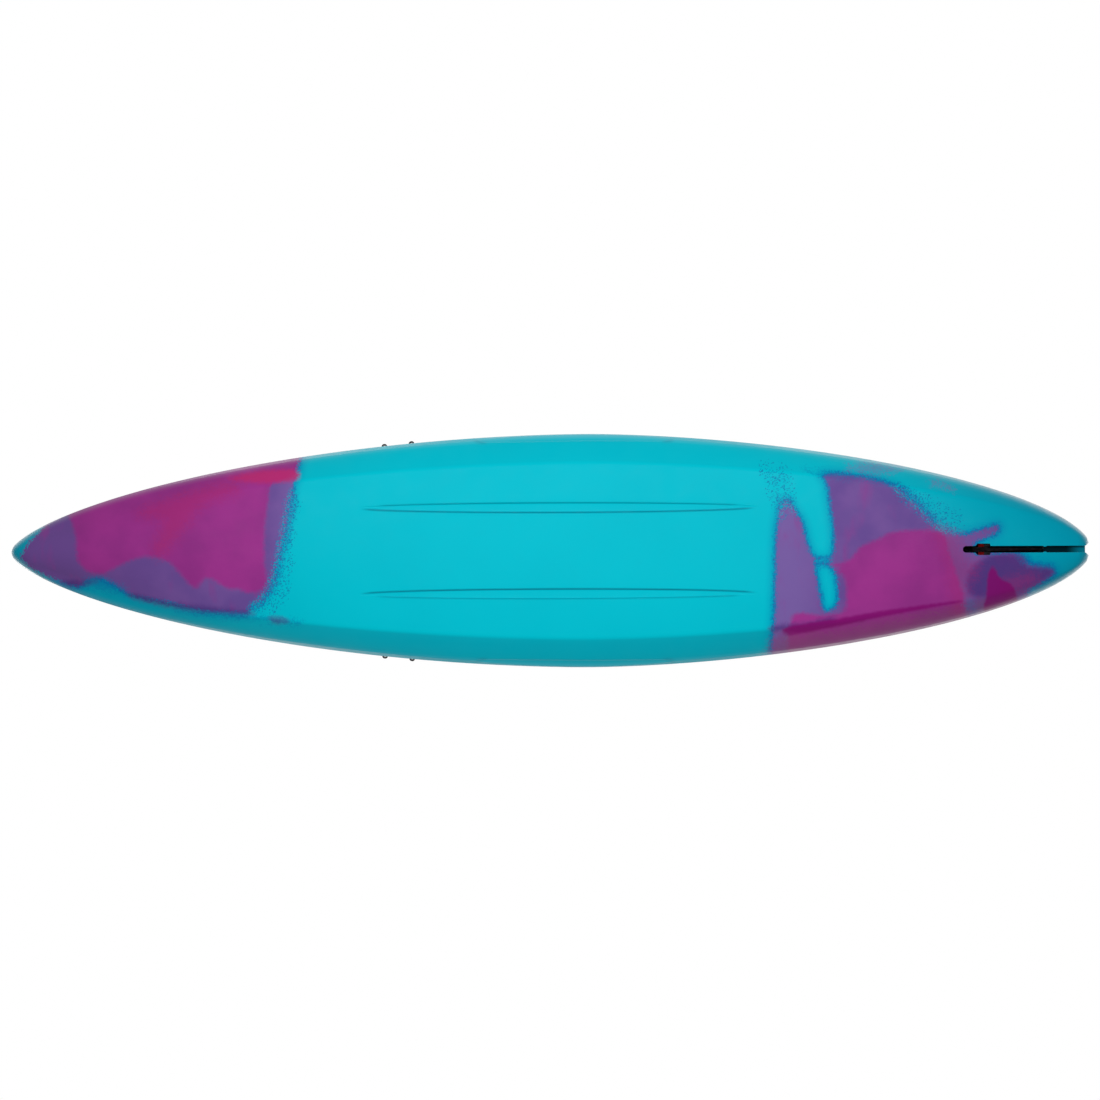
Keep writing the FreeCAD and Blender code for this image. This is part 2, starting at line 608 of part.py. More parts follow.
def line_fairlead():
    """Flanged bush that brings the line through the deck."""
    z = deck_height(LINE_X, 0)
    flange = rod(FAIRLEAD_FLANGE, (LINE_X, 0, z - 0.9), (LINE_X, 0, z + 4))
    flange = flange.makeFillet(2.5, [e for e in flange.Edges if e.CenterOfMass.z > z + 3.5])
    body = flange.fuse(rod(FAIRLEAD_RADIUS, (LINE_X, 0, z - 11.5), (LINE_X, 0, z + 1))).removeSplitter()
    return body.cut(rod(TUBE_BORE, (LINE_X, 0, z - 20), (LINE_X, 0, z + 20)))


def sweep(edges, radius):
    """A round cord along a path of straight runs and tangent arcs."""
    path = Part.Wire(edges)
    start = path.Edges[0]
    ring = Part.Circle(start.valueAt(start.FirstParameter), start.tangentAt(start.FirstParameter), radius)
    return path.makePipeShell([Part.Wire(ring.toShape())], True, False)


def line_fixed():
    """The line inside its tube, round the fairlead and forward to the cleat."""
    start, way = line_ends()
    foot = V(LINE_X, 0, SLOT_ROOF - 2)
    corner = V(LINE_X, 0, start.z - LINE_TURN)
    side = V(LINE_X + LINE_TURN * (1 - math.sqrt(0.5)), 0, corner.z + LINE_TURN * math.sqrt(0.5))
    turn = Part.Arc(corner, side, start).toShape()
    stop = start + way * ((CLEAT_X + CLEAT_HALF_LENGTH + 1 - start.x) / way.x)
    edges = [Part.LineSegment(foot, corner).toShape(), turn, Part.LineSegment(start, stop).toShape()]
    return sweep(edges, LINE_RADIUS)


def line_drop():
    """The stretch that follows the skeg down, from the roof of its space to the blade."""
    return rod(LINE_RADIUS, (HORN_X, 0, HORN_Z + 0.5), (HORN_X, 0, SLOT_ROOF - 2.2))


def line_tail():
    """The stretch that shortens as the skeg goes down, from the cleat to the knob."""
    start, way = line_ends()
    low = start + way * ((CLEAT_X + CLEAT_HALF_LENGTH + 1.2 - start.x) / way.x)
    high = start + way * ((KNOB_X - KNOB_RADIUS - COLLAR_LENGTH - 0.2 - start.x) / way.x)
    return Part.makeCylinder(LINE_RADIUS, (high - low).Length, low, way)


def line_knob():
    """Ball grip on the line's end, with a collar facing the cleat."""
    start, way = line_ends()
    centre = start + way * ((KNOB_X - start.x) / way.x)
    ball = Part.makeSphere(KNOB_RADIUS, centre)
    collar = Part.makeCone(5, 8, COLLAR_LENGTH + 3, centre - way * (KNOB_RADIUS + COLLAR_LENGTH), way)
    return ball.fuse(collar).removeSplitter()


def line_cleat():
    """Jam cleat: a plinth with two ribbed jaws and a V groove that grips the line."""
    where = deck_frame(CLEAT_X, 0)
    long, wide = CLEAT_HALF_LENGTH, CLEAT_HALF_WIDTH
    base = soft_block((-long, long), (-wide, wide), (0, 5), 7)
    jaws = side_plate([(-17, 4), (17, 4), (15, 24), (-15, 24)], 8.0)
    start, way = line_ends()
    level = where.inverse().multVec(start + way * ((CLEAT_X - start.x) / way.x)).z
    grip = LINE_RADIUS + 0.15
    half_groove = [(grip, level - 2.2), (grip, level + 2), (8.0, 30)]
    groove = half_groove + [(-y, z) for y, z in reversed(half_groove)]
    points = [V(-40, y, z) for y, z in groove]
    cut = Part.Face(Part.makePolygon(points + points[:1])).extrude(V(80, 0, 0))
    body = base.fuse(jaws).removeSplitter().cut(cut)
    return screw_holes(placed(body, where), cleat_screw_places())


# ---- strap eyes and handles ----
def strap_eye():
    """A base with two screw holes and a round-topped lug with one hole through it."""
    length, width, thick = EYE_BASE
    base = soft_block((-length / 2, length / 2), (-width / 2, width / 2), (EYE_SUNK, thick), 7)
    half = EYE_TOP - EYE_HOLE_HEIGHT
    round_top = rod(half, (0, -EYE_HALF_THICK, EYE_HOLE_HEIGHT), (0, EYE_HALF_THICK, EYE_HOLE_HEIGHT))
    root = box((-half, half), (-EYE_HALF_THICK, EYE_HALF_THICK), (0, EYE_HOLE_HEIGHT))
    eye = base.fuse(root.fuse(round_top)).removeSplitter()
    eye = eye.cut(rod(EYE_HOLE, (0, -20, EYE_HOLE_HEIGHT), (0, 20, EYE_HOLE_HEIGHT)))
    return screw_holes(eye, eye_screw_places(FreeCAD.Placement()))


def handle_bracket():
    """A clevis foot: base and an upright lug with a pin hole."""
    length, width, thick = HANDLE_BRACKET_BASE
    base = soft_block((-length / 2, length / 2), (-width / 2, width / 2), (0, thick), 6)
    r, half, h = HANDLE_LUG_RADIUS, HANDLE_LUG_HALF, HANDLE_PIVOT_HEIGHT
    lug = side_plate([(-r, thick - 1), (r, thick - 1), (r, h), (-r, h)], half)
    lug = lug.fuse(rod(r, (0, -half, h), (0, half, h)))
    foot = base.fuse(lug).removeSplitter()
    return foot.cut(rod(HANDLE_PIN + 0.1, (0, -20, h), (0, 20, h)))


def handle_brackets(where):
    feet = [placed(handle_bracket(), at(where, 0, j * HANDLE_BRACKET_Y)) for j in (-1, 1)]
    return screw_holes(Part.makeCompound(feet), handle_screw_places(where))


def handle_arms(where, fold):
    """The two flat arms that swing on the pins."""
    h, reach, r = HANDLE_PIVOT_HEIGHT, fold * HANDLE_REACH, HANDLE_ARM_RADIUS
    arms = []
    for side in (-1, 1):
        ys = (side * HANDLE_ARM_Y - HANDLE_ARM_HALF, side * HANDLE_ARM_Y + HANDLE_ARM_HALF)
        arm = box(sorted((0, reach)), ys, (h - r, h + r))
        ends = [rod(r, (x, ys[0], h), (x, ys[1], h)) for x in (0, reach)]
        arm = arm.fuse(ends).removeSplitter()
        arms.append(placed(arm.cut(rod(HANDLE_PIN + 0.1, (0, -90, h), (0, 90, h))), where))
    return Part.makeCompound(arms)


def handle_bar(where, fold):
    """The bar between the arms, under the grip."""
    h, reach, half = HANDLE_PIVOT_HEIGHT, fold * HANDLE_REACH, HANDLE_ARM_Y - HANDLE_ARM_HALF
    return placed(rod(HANDLE_BAR, (reach, -half, h), (reach, half, h)), where)


def handle_grip(where, fold):
    """The soft sleeve on the bar."""
    h, reach, half = HANDLE_PIVOT_HEIGHT, fold * HANDLE_REACH, HANDLE_GRIP_HALF
    sleeve = rod(HANDLE_GRIP, (reach, -half, h), (reach, half, h))
    sleeve = sleeve.makeFillet(4, [e for e in sleeve.Edges if e.Length > 70 and e.Closed])
    return placed(sleeve.cut(rod(HANDLE_BAR + 0.05, (reach, -60, h), (reach, 60, h))), where)


def handle_pins(where):
    h = HANDLE_PIVOT_HEIGHT
    pins = []
    for side in (-1, 1):
        inner = side * (HANDLE_ARM_Y - HANDLE_ARM_HALF)
        head = side * (HANDLE_BRACKET_Y + HANDLE_LUG_HALF + 0.2)
        pin = rod(HANDLE_PIN, (0, inner, h), (0, head + side, h))
        pin = pin.fuse(rod(HANDLE_PIN_HEAD, (0, head, h), (0, head + side * 2.5, h)))
        pins.append(placed(pin.removeSplitter(), where))
    return Part.makeCompound(pins)


def carry_grip():
    """The bar across the carry well, with a tab screwed down at each end."""
    reach = WELL_HALF_LENGTH + CARRY_TAB
    x = (WELL_X - CARRY_BAR_HALF_LENGTH, WELL_X + CARRY_BAR_HALF_LENGTH)
    y = (-CARRY_BAR_HALF_WIDTH, CARRY_BAR_HALF_WIDTH)
    bar = box(x, y, (DECK_FLAT - CARRY_BAR_LOW, DECK_FLAT + CARRY_BAR_HIGH))
    bar = bar.makeFillet(8, [e for e in bar.Edges if abs(e.tangentAt(0).x) > 0.99])
    y = (-CARRY_TAB_HALF_WIDTH, CARRY_TAB_HALF_WIDTH)
    tabs = soft_block((WELL_X - reach, WELL_X + reach), y, (DECK_FLAT, DECK_FLAT + CARRY_TAB_THICK), 12)
    return screw_holes(bar.fuse(tabs).removeSplitter(), grip_screw_places())


# ---- deck pads, foam, drain ----
def pad_half_width(x):
    return half_beam(x) * PAD_SHARE


def pad(front, back):
    """A foam pad that follows the board's outline, glued on the standing area."""
    steps = 8
    xs = [back + (front - back) * i / steps for i in range(steps + 1)]
    curves = []
    for side in (1, -1):
        curve = Part.BSplineCurve()
        curve.interpolate([V(x, side * pad_half_width(x), DECK_FLAT) for x in xs])
        curves.append(curve.toShape())
    ends = [V(x, side * pad_half_width(x), DECK_FLAT) for x in (back, front) for side in (1, -1)]
    caps = [Part.LineSegment(ends[0], ends[1]).toShape(), Part.LineSegment(ends[2], ends[3]).toShape()]
    face = Part.Face(Part.Wire(Part.__sortEdges__(curves + caps)))
    body = face.extrude(V(0, 0, PAD_THICK))
    return body.makeFillet(PAD_CORNER, upright_edges(body))


def split_pad(side):
    """One of the two pads beside the carry handle."""
    whole = pad(WELL_X + SIDE_PAD_HALF_LENGTH, WELL_X - SIDE_PAD_HALF_LENGTH)
    y = sorted((side * SIDE_PAD_INNER, side * BEAM / 2))
    keep = soft_block((WELL_X - 200, WELL_X + 200), y, (DECK_FLAT - 5, DECK_FLAT + 20), 5)
    return whole.common(keep)


def foam_core(front, back):
    """Closed-cell block that props the standing area off the bottom."""
    half = CORE_HALF_WIDTH
    return soft_block((back, front), (-half, half), (WALL + 0.5, DECK_FLAT - WALL - 0.5), 12)


def drain_seat():
    """Threaded collar let into the deck."""
    flange = Part.makeCylinder(DRAIN_FLANGE, 3.4, V(0, 0, -0.9))
    flange = flange.makeFillet(1.5, [e for e in flange.Edges if e.CenterOfMass.z > 2])
    depth = DRAIN_SEAT_DEPTH
    body = flange.fuse(Part.makeCylinder(DRAIN_SEAT, depth - 0.5, V(0, 0, -depth))).removeSplitter()
    body = body.cut(Part.makeCylinder(DRAIN_BORE + 0.3, 40, V(0, 0, -30)))
    return placed(body, drain_frame())


def drain_seal():
    """Ring under the plug's head."""
    ring = Part.makeTorus(13.5, 1.2, V(0, 0, 2.5 + 1.25))
    return placed(ring, drain_frame())


def drain_plug():
    """Plug with a threaded stem, a round head and a finger bar."""
    stem = Part.makeCylinder(DRAIN_BORE - 1.2, 20, V(0, 0, -15.0))
    threads = []
    for i in range(DRAIN_THREADS):
        threads.append(Part.makeCone(DRAIN_BORE - 1.4, DRAIN_BORE, 1, V(0, 0, -14 + DRAIN_PITCH * i)))
    head = Part.makeCylinder(DRAIN_HEAD, 3.2, V(0, 0, 5.0))
    head = head.makeFillet(1.2, [e for e in head.Edges if e.CenterOfMass.z > 8])
    bar = soft_block((-14, 14), (-3.2, 3.2), (8, 15), 3)
    return placed(stem.fuse(threads + [head, bar]).removeSplitter(), drain_frame())


def parts():
    """Every piece by its node name."""
    handles = handle_places()
    eyes = eye_places()
    made = {
        "hull_shell": hull_shell(),
        "foam_core_front": foam_core(*FRONT_CORE),
        "foam_core_rear": foam_core(*REAR_CORE),
        "deck_pad_front": pad(*FRONT_PAD),
        "deck_pad_port": split_pad(1),
        "deck_pad_starboard": split_pad(-1),
        "deck_pad_rear": pad(*REAR_PAD),
        "carry_grip": carry_grip(),
        "skeg_blade": skeg_blade(),
        "skeg_pivot_pin": skeg_pin(),
        "skeg_line_tube": line_tube(),
        "skeg_line_fairlead": line_fairlead(),
        "skeg_line": line_fixed(),
        "skeg_line_drop": line_drop(),
        "skeg_line_tail": line_tail(),
        "skeg_line_knob": line_knob(),
        "skeg_line_cleat": line_cleat(),
        "drain_seat": drain_seat(),
        "drain_seal": drain_seal(),
        "drain_plug": drain_plug(),
    }
    for name, side in (("port", 1), ("starboard", -1)):
        made[f"skeg_bush_{name}"] = pivot_bush(side)
        made[f"skeg_keeper_{name}"] = pivot_keeper(side)
    for name, where in eyes:
        made[name] = placed(strap_eye(), where)
    for name, (where, fold) in handles.items():
        made[f"{name}_handle_brackets"] = handle_brackets(where)
        made[f"{name}_handle_arms"] = handle_arms(where, fold)
        made[f"{name}_handle_bar"] = handle_bar(where, fold)
        made[f"{name}_handle_grip"] = handle_grip(where, fold)
        made[f"{name}_handle_pins"] = handle_pins(where)
        made[f"{name}_handle_screws"] = screws(HANDLE_BRACKET_BASE[2], handle_screw_places(where))
    made["eye_screws"] = screws(EYE_BASE[2], [p for _, where in eyes for p in eye_screw_places(where)])
    made["carry_grip_screws"] = screws(CARRY_TAB_THICK, grip_screw_places())
    made["cleat_screws"] = screws(5.0, cleat_screw_places())
    made["threaded_inserts"] = Part.makeCompound([placed(insert(), p) for p in all_screw_places()])
    return made


def main():
    os.makedirs("parts", exist_ok=True)
    for name, shape in parts().items():
        shape.exportStep(f"parts/{name}.step")


if __name__ == "__main__":
    main()
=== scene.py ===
import json
from math import asin, comb, cos, exp, hypot, pi, radians, sin, sqrt, tan
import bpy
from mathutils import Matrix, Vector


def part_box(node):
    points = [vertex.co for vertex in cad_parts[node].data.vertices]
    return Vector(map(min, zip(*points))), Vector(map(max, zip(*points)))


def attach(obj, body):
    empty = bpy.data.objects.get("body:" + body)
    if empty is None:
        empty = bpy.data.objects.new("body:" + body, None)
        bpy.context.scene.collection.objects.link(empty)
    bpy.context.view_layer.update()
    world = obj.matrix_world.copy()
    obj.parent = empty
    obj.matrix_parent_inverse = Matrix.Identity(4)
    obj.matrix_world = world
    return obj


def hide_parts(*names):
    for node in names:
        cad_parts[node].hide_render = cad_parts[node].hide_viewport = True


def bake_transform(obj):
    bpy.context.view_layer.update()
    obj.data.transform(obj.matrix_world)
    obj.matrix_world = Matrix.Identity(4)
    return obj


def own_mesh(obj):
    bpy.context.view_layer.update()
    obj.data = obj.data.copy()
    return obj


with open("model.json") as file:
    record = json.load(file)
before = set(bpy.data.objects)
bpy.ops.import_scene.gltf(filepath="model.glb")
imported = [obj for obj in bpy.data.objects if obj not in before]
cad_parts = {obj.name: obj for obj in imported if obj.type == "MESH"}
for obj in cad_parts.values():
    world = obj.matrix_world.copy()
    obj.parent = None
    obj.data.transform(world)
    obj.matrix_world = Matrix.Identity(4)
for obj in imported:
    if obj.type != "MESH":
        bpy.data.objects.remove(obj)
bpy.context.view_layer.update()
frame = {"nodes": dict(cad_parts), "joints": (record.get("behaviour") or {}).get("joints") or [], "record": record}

from types import SimpleNamespace

import bmesh
import bpy
import numpy as np
from mathutils import Matrix, Vector

# Stand up paddleboard in metres: +X to the bow, +Y to port, +Z up from the flat of the bottom.
# The hull's lines and cuts follow the formulas of the CAD shell that it stands for, with shallower scoops,
# a rounder bow section and none of the shell's round holes.

hull_low, hull_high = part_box("hull_shell")
X_STERN, X_BOW = hull_low[0], hull_high[0]
LENGTH, BEAM = X_BOW - X_STERN, hull_high[1] - hull_low[1]
X_WIDE = X_BOW - 0.536 * LENGTH
BOW_TAPER, BOW_FULLNESS, BOW_BLUNTNESS = 1.835, 0.654, 0.004
STERN_TAPER, STERN_FULLNESS, STERN_BLUNTNESS = 1.722, 0.567, 0.012
BOW_NOSE, STERN_NOSE = 0.07, 0.05
BOW_ROUND = 0.22  # length over which the bow's section turns from a chine to an ellipse
BOW_CAP, STERN_CAP = 0.009, 0.006  # lengths over which the very ends close
HORN_MIDDLE = 0.2  # where each point of the stern closes, from the notch out to the rail
DECK_CROWN, DECK_FLAT = 0.163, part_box("deck_pad_front")[0][2]
STAND_BOW, STAND_STERN, STAND_SLOPE, STAND_RISE = 0.55, -0.95, 0.016, 0.03
STAND_SOFT = 0.003  # how gently the flat standing area meets the crown
BOW_ROCKER, STERN_ROCKER, ROCKER_POWER = 0.165, 0.062, 2.2
ROCKER_FORE, ROCKER_AFT = 0.35, -0.7
BOTTOM_SAG = 0.002
BOW_SHEER, STERN_SHEER, SHEER_FORE, SHEER_AFT = 0.082, 0.015, 0.5, -0.9
EDGE_DROP, EDGE_DROP_AMIDSHIPS = 0.012, 0.023  # how far the deck's edge lies below its crown
DECK_FULLNESS = 0.72  # the deck curve's inner poles, as a share of its half width
WIDEST_RATIO = 0.58  # where the rail is widest, from the keel up to the deck's edge
CHINE_LIFT, CHINE_LIFT_BOW, CHINE_LIFT_STERN = 0.006, 0.024, 0.01
CHINE_RATIO, CHINE_RATIO_FALL = 0.755, 0.13  # the chine's share of the half beam, and what the bow loses
RAIL_ROUND, RAIL_SLOPE = 0.045, radians(30)
CHINE_ROUND, SHOULDER_ROUND = 0.009, 0.014
SEAM_PROUD = 0.0004  # the mould's parting line at the widest part of the rail

FLUTE_X, FLUTE_HALF_LENGTH, FLUTE_Y = -0.028, 0.705, 0.153
FLUTE_HALF_WIDTH, FLUTE_DEPTH = 0.019, 0.005
SCOOP_X, SCOOP_HALF_LENGTH, SCOOP_DEPTH = -0.087, 0.352, 0.002
# SCOOP_SHADE is the strength of the painted shade marks at the ends of each scoop
SCOOP_STATION, SCOOP_SPREAD, SCOOP_SHADE = 0.66, 0.2, 0.45

PIVOT_X = sum(c[0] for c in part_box("skeg_pivot_pin")) / 2
SLOT_HALF, SLOT_FRONT, SLOT_BACK, SLOT_ROOF = 0.0115, -1.461, -1.744, 0.122
CLOSED_HALF = 0.0005  # half width that the cut keeps in the mesh where it is closed
PINCH_DEPTH, PINCH_STOPS = 0.003, (-0.014, -0.011, -0.004, 0.0)  # the groove's narrow place behind the slot
POCKET_HALF, POCKET_TOP = 0.02, 0.08
POCKET_AHEAD, POCKET_BEHIND, POCKET_RAMPS = 0.02, 0.034, (0.008, 0.003)
GROOVE_DEPTH = 0.03
NECK_X, NOTCH_SPREAD = X_STERN + 0.012, 12.5 / 20
LIP = 0.0015
STEP = 0.0004  # how far apart the two sides of a sheer step lie

WELL_X, WELL_HALF_LENGTH, WELL_HALF_WIDTH, WELL_CORNER, WELL_FLOOR = -0.06, 0.095, 0.045, 0.03, 0.106
HANDLE_XS = {"bow": (1.705, -1), "stern": (-1.8, 1)}  # where each handle turns, and the way it folds
RECESS_DEPTH, RECESS_HALF_WIDTH, RECESS_CORNER = 0.008, 0.078, 0.022
RECESS_BEHIND, RECESS_AHEAD = 0.028, 0.072

STATION_STEP, STATION_GAP = 0.012, 0.00015  # the usual spacing and the least


# ---- the board's lines ----
def smooth(start, end, x):
    u = min(1.0, max(0.0, (x - start) / (end - start)))
    return u * u * (3 - 2 * u)


def rise(x, start, end, height, power):
    return height * max(0.0, (x - start) / (end - start)) ** power


def rounded(u):
    """0 to 1 along a quarter circle."""
    u = min(1.0, max(0.0, u))
    return sqrt(1 - (1 - u) ** 2)


def half_beam(x):
    if x >= X_WIDE:
        u = (X_BOW + BOW_BLUNTNESS - x) / (X_BOW + BOW_BLUNTNESS - X_WIDE)
        return BEAM / 2 * (1 - (1 - u) ** BOW_TAPER) ** BOW_FULLNESS
    u = (x - X_STERN + STERN_BLUNTNESS) / (X_WIDE - X_STERN + STERN_BLUNTNESS)
    return BEAM / 2 * (1 - (1 - u) ** STERN_TAPER) ** STERN_FULLNESS


def notch_half(x):
    """Half width of the notch in the stern, its narrow end ahead."""
    return SLOT_HALF + NOTCH_SPREAD * max(0.0, NECK_X - x)


def lines(x):
    """The section's sizes at station x. Both ends close round: the bow on the centreline, and the
    stern on the middle of each of its two points."""
    keel = rise(x, ROCKER_FORE, X_BOW, BOW_ROCKER, ROCKER_POWER)
    keel += rise(x, ROCKER_AFT, X_STERN, STERN_ROCKER, ROCKER_POWER) - BOTTOM_SAG
    deck = DECK_CROWN + rise(x, SHEER_FORE, X_BOW, BOW_SHEER, 2)
    deck += rise(x, SHEER_AFT, X_STERN, STERN_SHEER, 2)
    amidships = (1 - smooth(0.3, 1.0, x)) * (1 - smooth(-0.56, -1.25, x))
    edge = deck - EDGE_DROP - EDGE_DROP_AMIDSHIPS * amidships
    widest = keel + WIDEST_RATIO * (edge - keel)
    chine = keel + CHINE_LIFT + CHINE_LIFT_BOW * smooth(0.5, 1.8, x)
    chine += CHINE_LIFT_STERN * smooth(-0.8, -1.8, x)
    bow = (X_BOW + BOW_BLUNTNESS - x) / BOW_NOSE
    stern = (x - X_STERN + STERN_BLUNTNESS) / STERN_NOSE
    cap = rounded((X_BOW - x) / BOW_CAP) * min(1.0, max(0.0, (x - X_STERN) / STERN_CAP)) ** 0.7
    k = rounded(min(bow, stern)) * cap
    keel, deck, edge, chine = (widest + (z - widest) * k for z in (keel, deck, edge, chine))
    beam = half_beam(x)
    centre = notch_half(x) + HORN_MIDDLE * (beam - notch_half(x)) if x < X_WIDE else 0.0
    chine_ratio = CHINE_RATIO - CHINE_RATIO_FALL * smooth(1.2, X_BOW, x)
    widths = beam, chine_ratio * beam, beam - min(RAIL_ROUND, 0.35 * beam)
    half, chine_y, edge_y = (centre + (y - centre) * cap for y in widths)
    notch = centre + (notch_half(x) - centre) * cap
    return SimpleNamespace(half=half, chine_y=chine_y, edge_y=edge_y, keel=keel, chine=chine, widest=widest,
                           edge=edge, deck=deck, notch=notch)


def bottom_z(s, y):
    """The bottom between the chines: a shallow crown upside down, cut flat at zero."""
    ratio = min(1.0, y / max(s.chine_y, 1e-6))
    return max(0.0, s.chine + (s.keel - s.chine) * (1 - ratio**2))


def deck_curve(s):
    """Points of the crowned deck, centreline to edge, as two rising lists."""
    y, z = s.edge_y, s.edge
    top = (s.deck - 0.125 * z) / 0.875  # half way along, the two outer poles weigh an eighth
    inner = DECK_FULLNESS * y
    poles = np.array([(-y, z), (-inner, top), (0.0, top), (inner, top), (y, z)])
    t = np.linspace(0.5, 1.0, 80)[:, None]
    weights = np.hstack([comb(4, i) * t**i * (1 - t) ** (4 - i) for i in range(5)])
    return (weights @ poles).T


def deck_height(x):
    return float(np.interp(0.0, *deck_curve(lines(x))))


def quadratic(a, b, c, t):
    return tuple((1 - t) ** 2 * a[i] + 2 * t * (1 - t) * b[i] + t * t * c[i] for i in (0, 1))


def quadratic_inwards(a, b, c, t):
    """Unit direction into the board, square to a rail curve that climbs on the port side."""
    y, z = ((1 - t) * (b[i] - a[i]) + t * (c[i] - b[i]) for i in (0, 1))
    size = hypot(y, z) or 1.0
    return -z / size, y / size


def spread(a, b, count):
    """count values evenly between a and b, without the ends."""
    return list(np.linspace(a, b, count + 2)[1:-1])


# ---- the cuts ----
def bottom_cut(x, s):
    """The cut along the keel: half width, inner half width, roof, step height, and whether it is there."""
    if x <= NECK_X:
        return s.notch, s.notch, s.widest, s.widest, 1.0
    groove = lines(x).keel + GROOVE_DEPTH
    roof = groove if x < SLOT_BACK else SLOT_ROOF
    inner = SLOT_HALF
    if x > SLOT_FRONT - SLOT_HALF:
        ahead = min(1.0, (x - SLOT_FRONT + SLOT_HALF) / SLOT_HALF)
        inner = max(CLOSED_HALF, SLOT_HALF * sqrt(1 - ahead**2))
    if x > SLOT_FRONT:
        inner = CLOSED_HALF + 0.0025 * smooth(SLOT_FRONT, SLOT_FRONT + 0.05, x)
    a, b, c, d = (SLOT_BACK + stop for stop in PINCH_STOPS)
    inner -= PINCH_DEPTH * smooth(a, b, x) * (1 - smooth(c, d, x))
    front, back = PIVOT_X + POCKET_AHEAD, PIVOT_X - POCKET_BEHIND
    pocket = min((front - x) / POCKET_RAMPS[0], (x - back) / POCKET_RAMPS[1], 1.0)
    half = inner + (POCKET_HALF - SLOT_HALF) * max(0.0, pocket)
    return half, inner, roof, min(roof, POCKET_TOP), float(x < SLOT_FRONT - STEP / 2)


def deck_cuts():
    """Each recess on the centreline of the deck: its ends, half width, corner, floor and the floor's slope
    from a station."""
    a, b = WELL_X - WELL_HALF_LENGTH, WELL_X + WELL_HALF_LENGTH
    cuts = [(a, b, WELL_HALF_WIDTH, WELL_CORNER, WELL_FLOOR, 0.0, 0.0)]
    for x, fold in HANDLE_XS.values():
        a, b = sorted((x - fold * RECESS_BEHIND, x + fold * RECESS_AHEAD))
        slope = (deck_height(x + 0.002) - deck_height(x - 0.002)) / 0.004
        floor = deck_height(x) - RECESS_DEPTH
        cuts.append((a, b, RECESS_HALF_WIDTH, RECESS_CORNER, floor, slope, x))
    return cuts


DECK_CUTS = deck_cuts()
CUT_SLOPE = 0.0025  # how far a recess's end wall leans
CUT_REACH = 0.05  # how far past a recess the mesh keeps its width
NECK_STRIP = 0.02  # the stretch of deck ahead of the notch that keeps the slot's width


def deck_cut(x, s):
    """Half width, floor and depth fraction of the recess at station x."""
    if x <= NECK_X:
        return s.notch, s.widest, 1.0
    if x < NECK_X + NECK_STRIP:
        return SLOT_HALF, s.widest, 0.0
    for a, b, half, corner, floor, slope, x0 in DECK_CUTS:
        if a - CUT_REACH < x < b + CUT_REACH:
            inside = min(x - a, b - x)
            round_off = corner * (1 - rounded(inside / corner))
            width = min(half - round_off, 0.9 * s.edge_y)
            depth = smooth(0.0, CUT_SLOPE, inside)
            return width, floor + slope * (x - x0), depth
    return min(0.02, 0.4 * s.edge_y), s.deck, 0.0


def hull_stations():
    """Even stations, with more where the ends turn and at the ends of every cut."""
    xs = list(np.arange(X_STERN + 0.03, X_BOW - 0.03, STATION_STEP))
    ends = [0.0, 0.0002, 0.0006, 0.0012, 0.002, 0.003, 0.0042, 0.0056, 0.0072, 0.009, 0.0115, 0.015, 0.019,
            0.024]
    xs += [X_STERN + d for d in ends] + [X_BOW - d for d in ends]
    xs += [NECK_X, NECK_X + STEP, NECK_X + NECK_STRIP - STEP]
    xs += [SLOT_BACK + stop for stop in PINCH_STOPS] + [SLOT_BACK - 0.0125, SLOT_BACK - STEP]
    front, back = PIVOT_X + POCKET_AHEAD, PIVOT_X - POCKET_BEHIND
    xs += [back, back + POCKET_RAMPS[1], front - POCKET_RAMPS[0], front]
    xs += [SLOT_FRONT - SLOT_HALF * (1 - sin(a)) for a in np.radians([0, 20, 40, 55, 70, 80])]
    xs += [SLOT_FRONT - STEP, SLOT_FRONT, SLOT_FRONT + 0.006]
    for middle, half in ((FLUTE_X, FLUTE_HALF_LENGTH), (SCOOP_X, SCOOP_HALF_LENGTH)):
        for d in [0.0005 * n * (n + 1) for n in range(13)] + [0.09]:
            xs += [middle - half + d, middle + half - d]
    for end, way in ((STAND_STERN, 1), (STAND_BOW, -1)):
        xs += [end + way * STAND_SLOPE * u for u in (0.0, 0.15, 0.35, 0.5, 0.65, 0.85, 1.0)]
    for a, b, _, corner, _, _, _ in DECK_CUTS:
        wall = [-STEP, 0.0, CUT_SLOPE / 3, 2 * CUT_SLOPE / 3, CUT_SLOPE]
        for d in wall + [share * corner for share in (0.15, 0.3, 0.6, 1.0)]:
            xs += [a + d, b - d]
    xs = sorted(xs)
    kept = [xs[0]]
    for x in xs[1:]:
        if x - kept[-1] > STATION_GAP:
            kept.append(x)
    return kept


FLUTE_PROFILE = [(-1.0, 0.0), (-0.96, 0.05), (-0.91, 0.4), (-0.87, 0.85), (-0.82, 1.0), (-0.2, 1.0),
                 (0.5, 1.0), (0.72, 0.97), (0.79, 0.8), (0.87, 0.4), (0.94, 0.05), (1.0, 0.0)]
SCOOP_PROFILE = [(-1.0, 0.0), (-0.86, 0.04), (-0.72, 0.4), (-0.58, 0.88), (-0.45, 1.0), (-0.1, 1.0),
                 (0.25, 0.88), (0.5, 0.62), (0.72, 0.3), (0.9, 0.08), (1.0, 0.0)]
ROUND_STOPS = (0.0, 0.2, 0.4, 0.6, 0.8, 1.0)
LIP_ANGLES = [radians(a) for a in (0, 25, 50, 72, 90)]


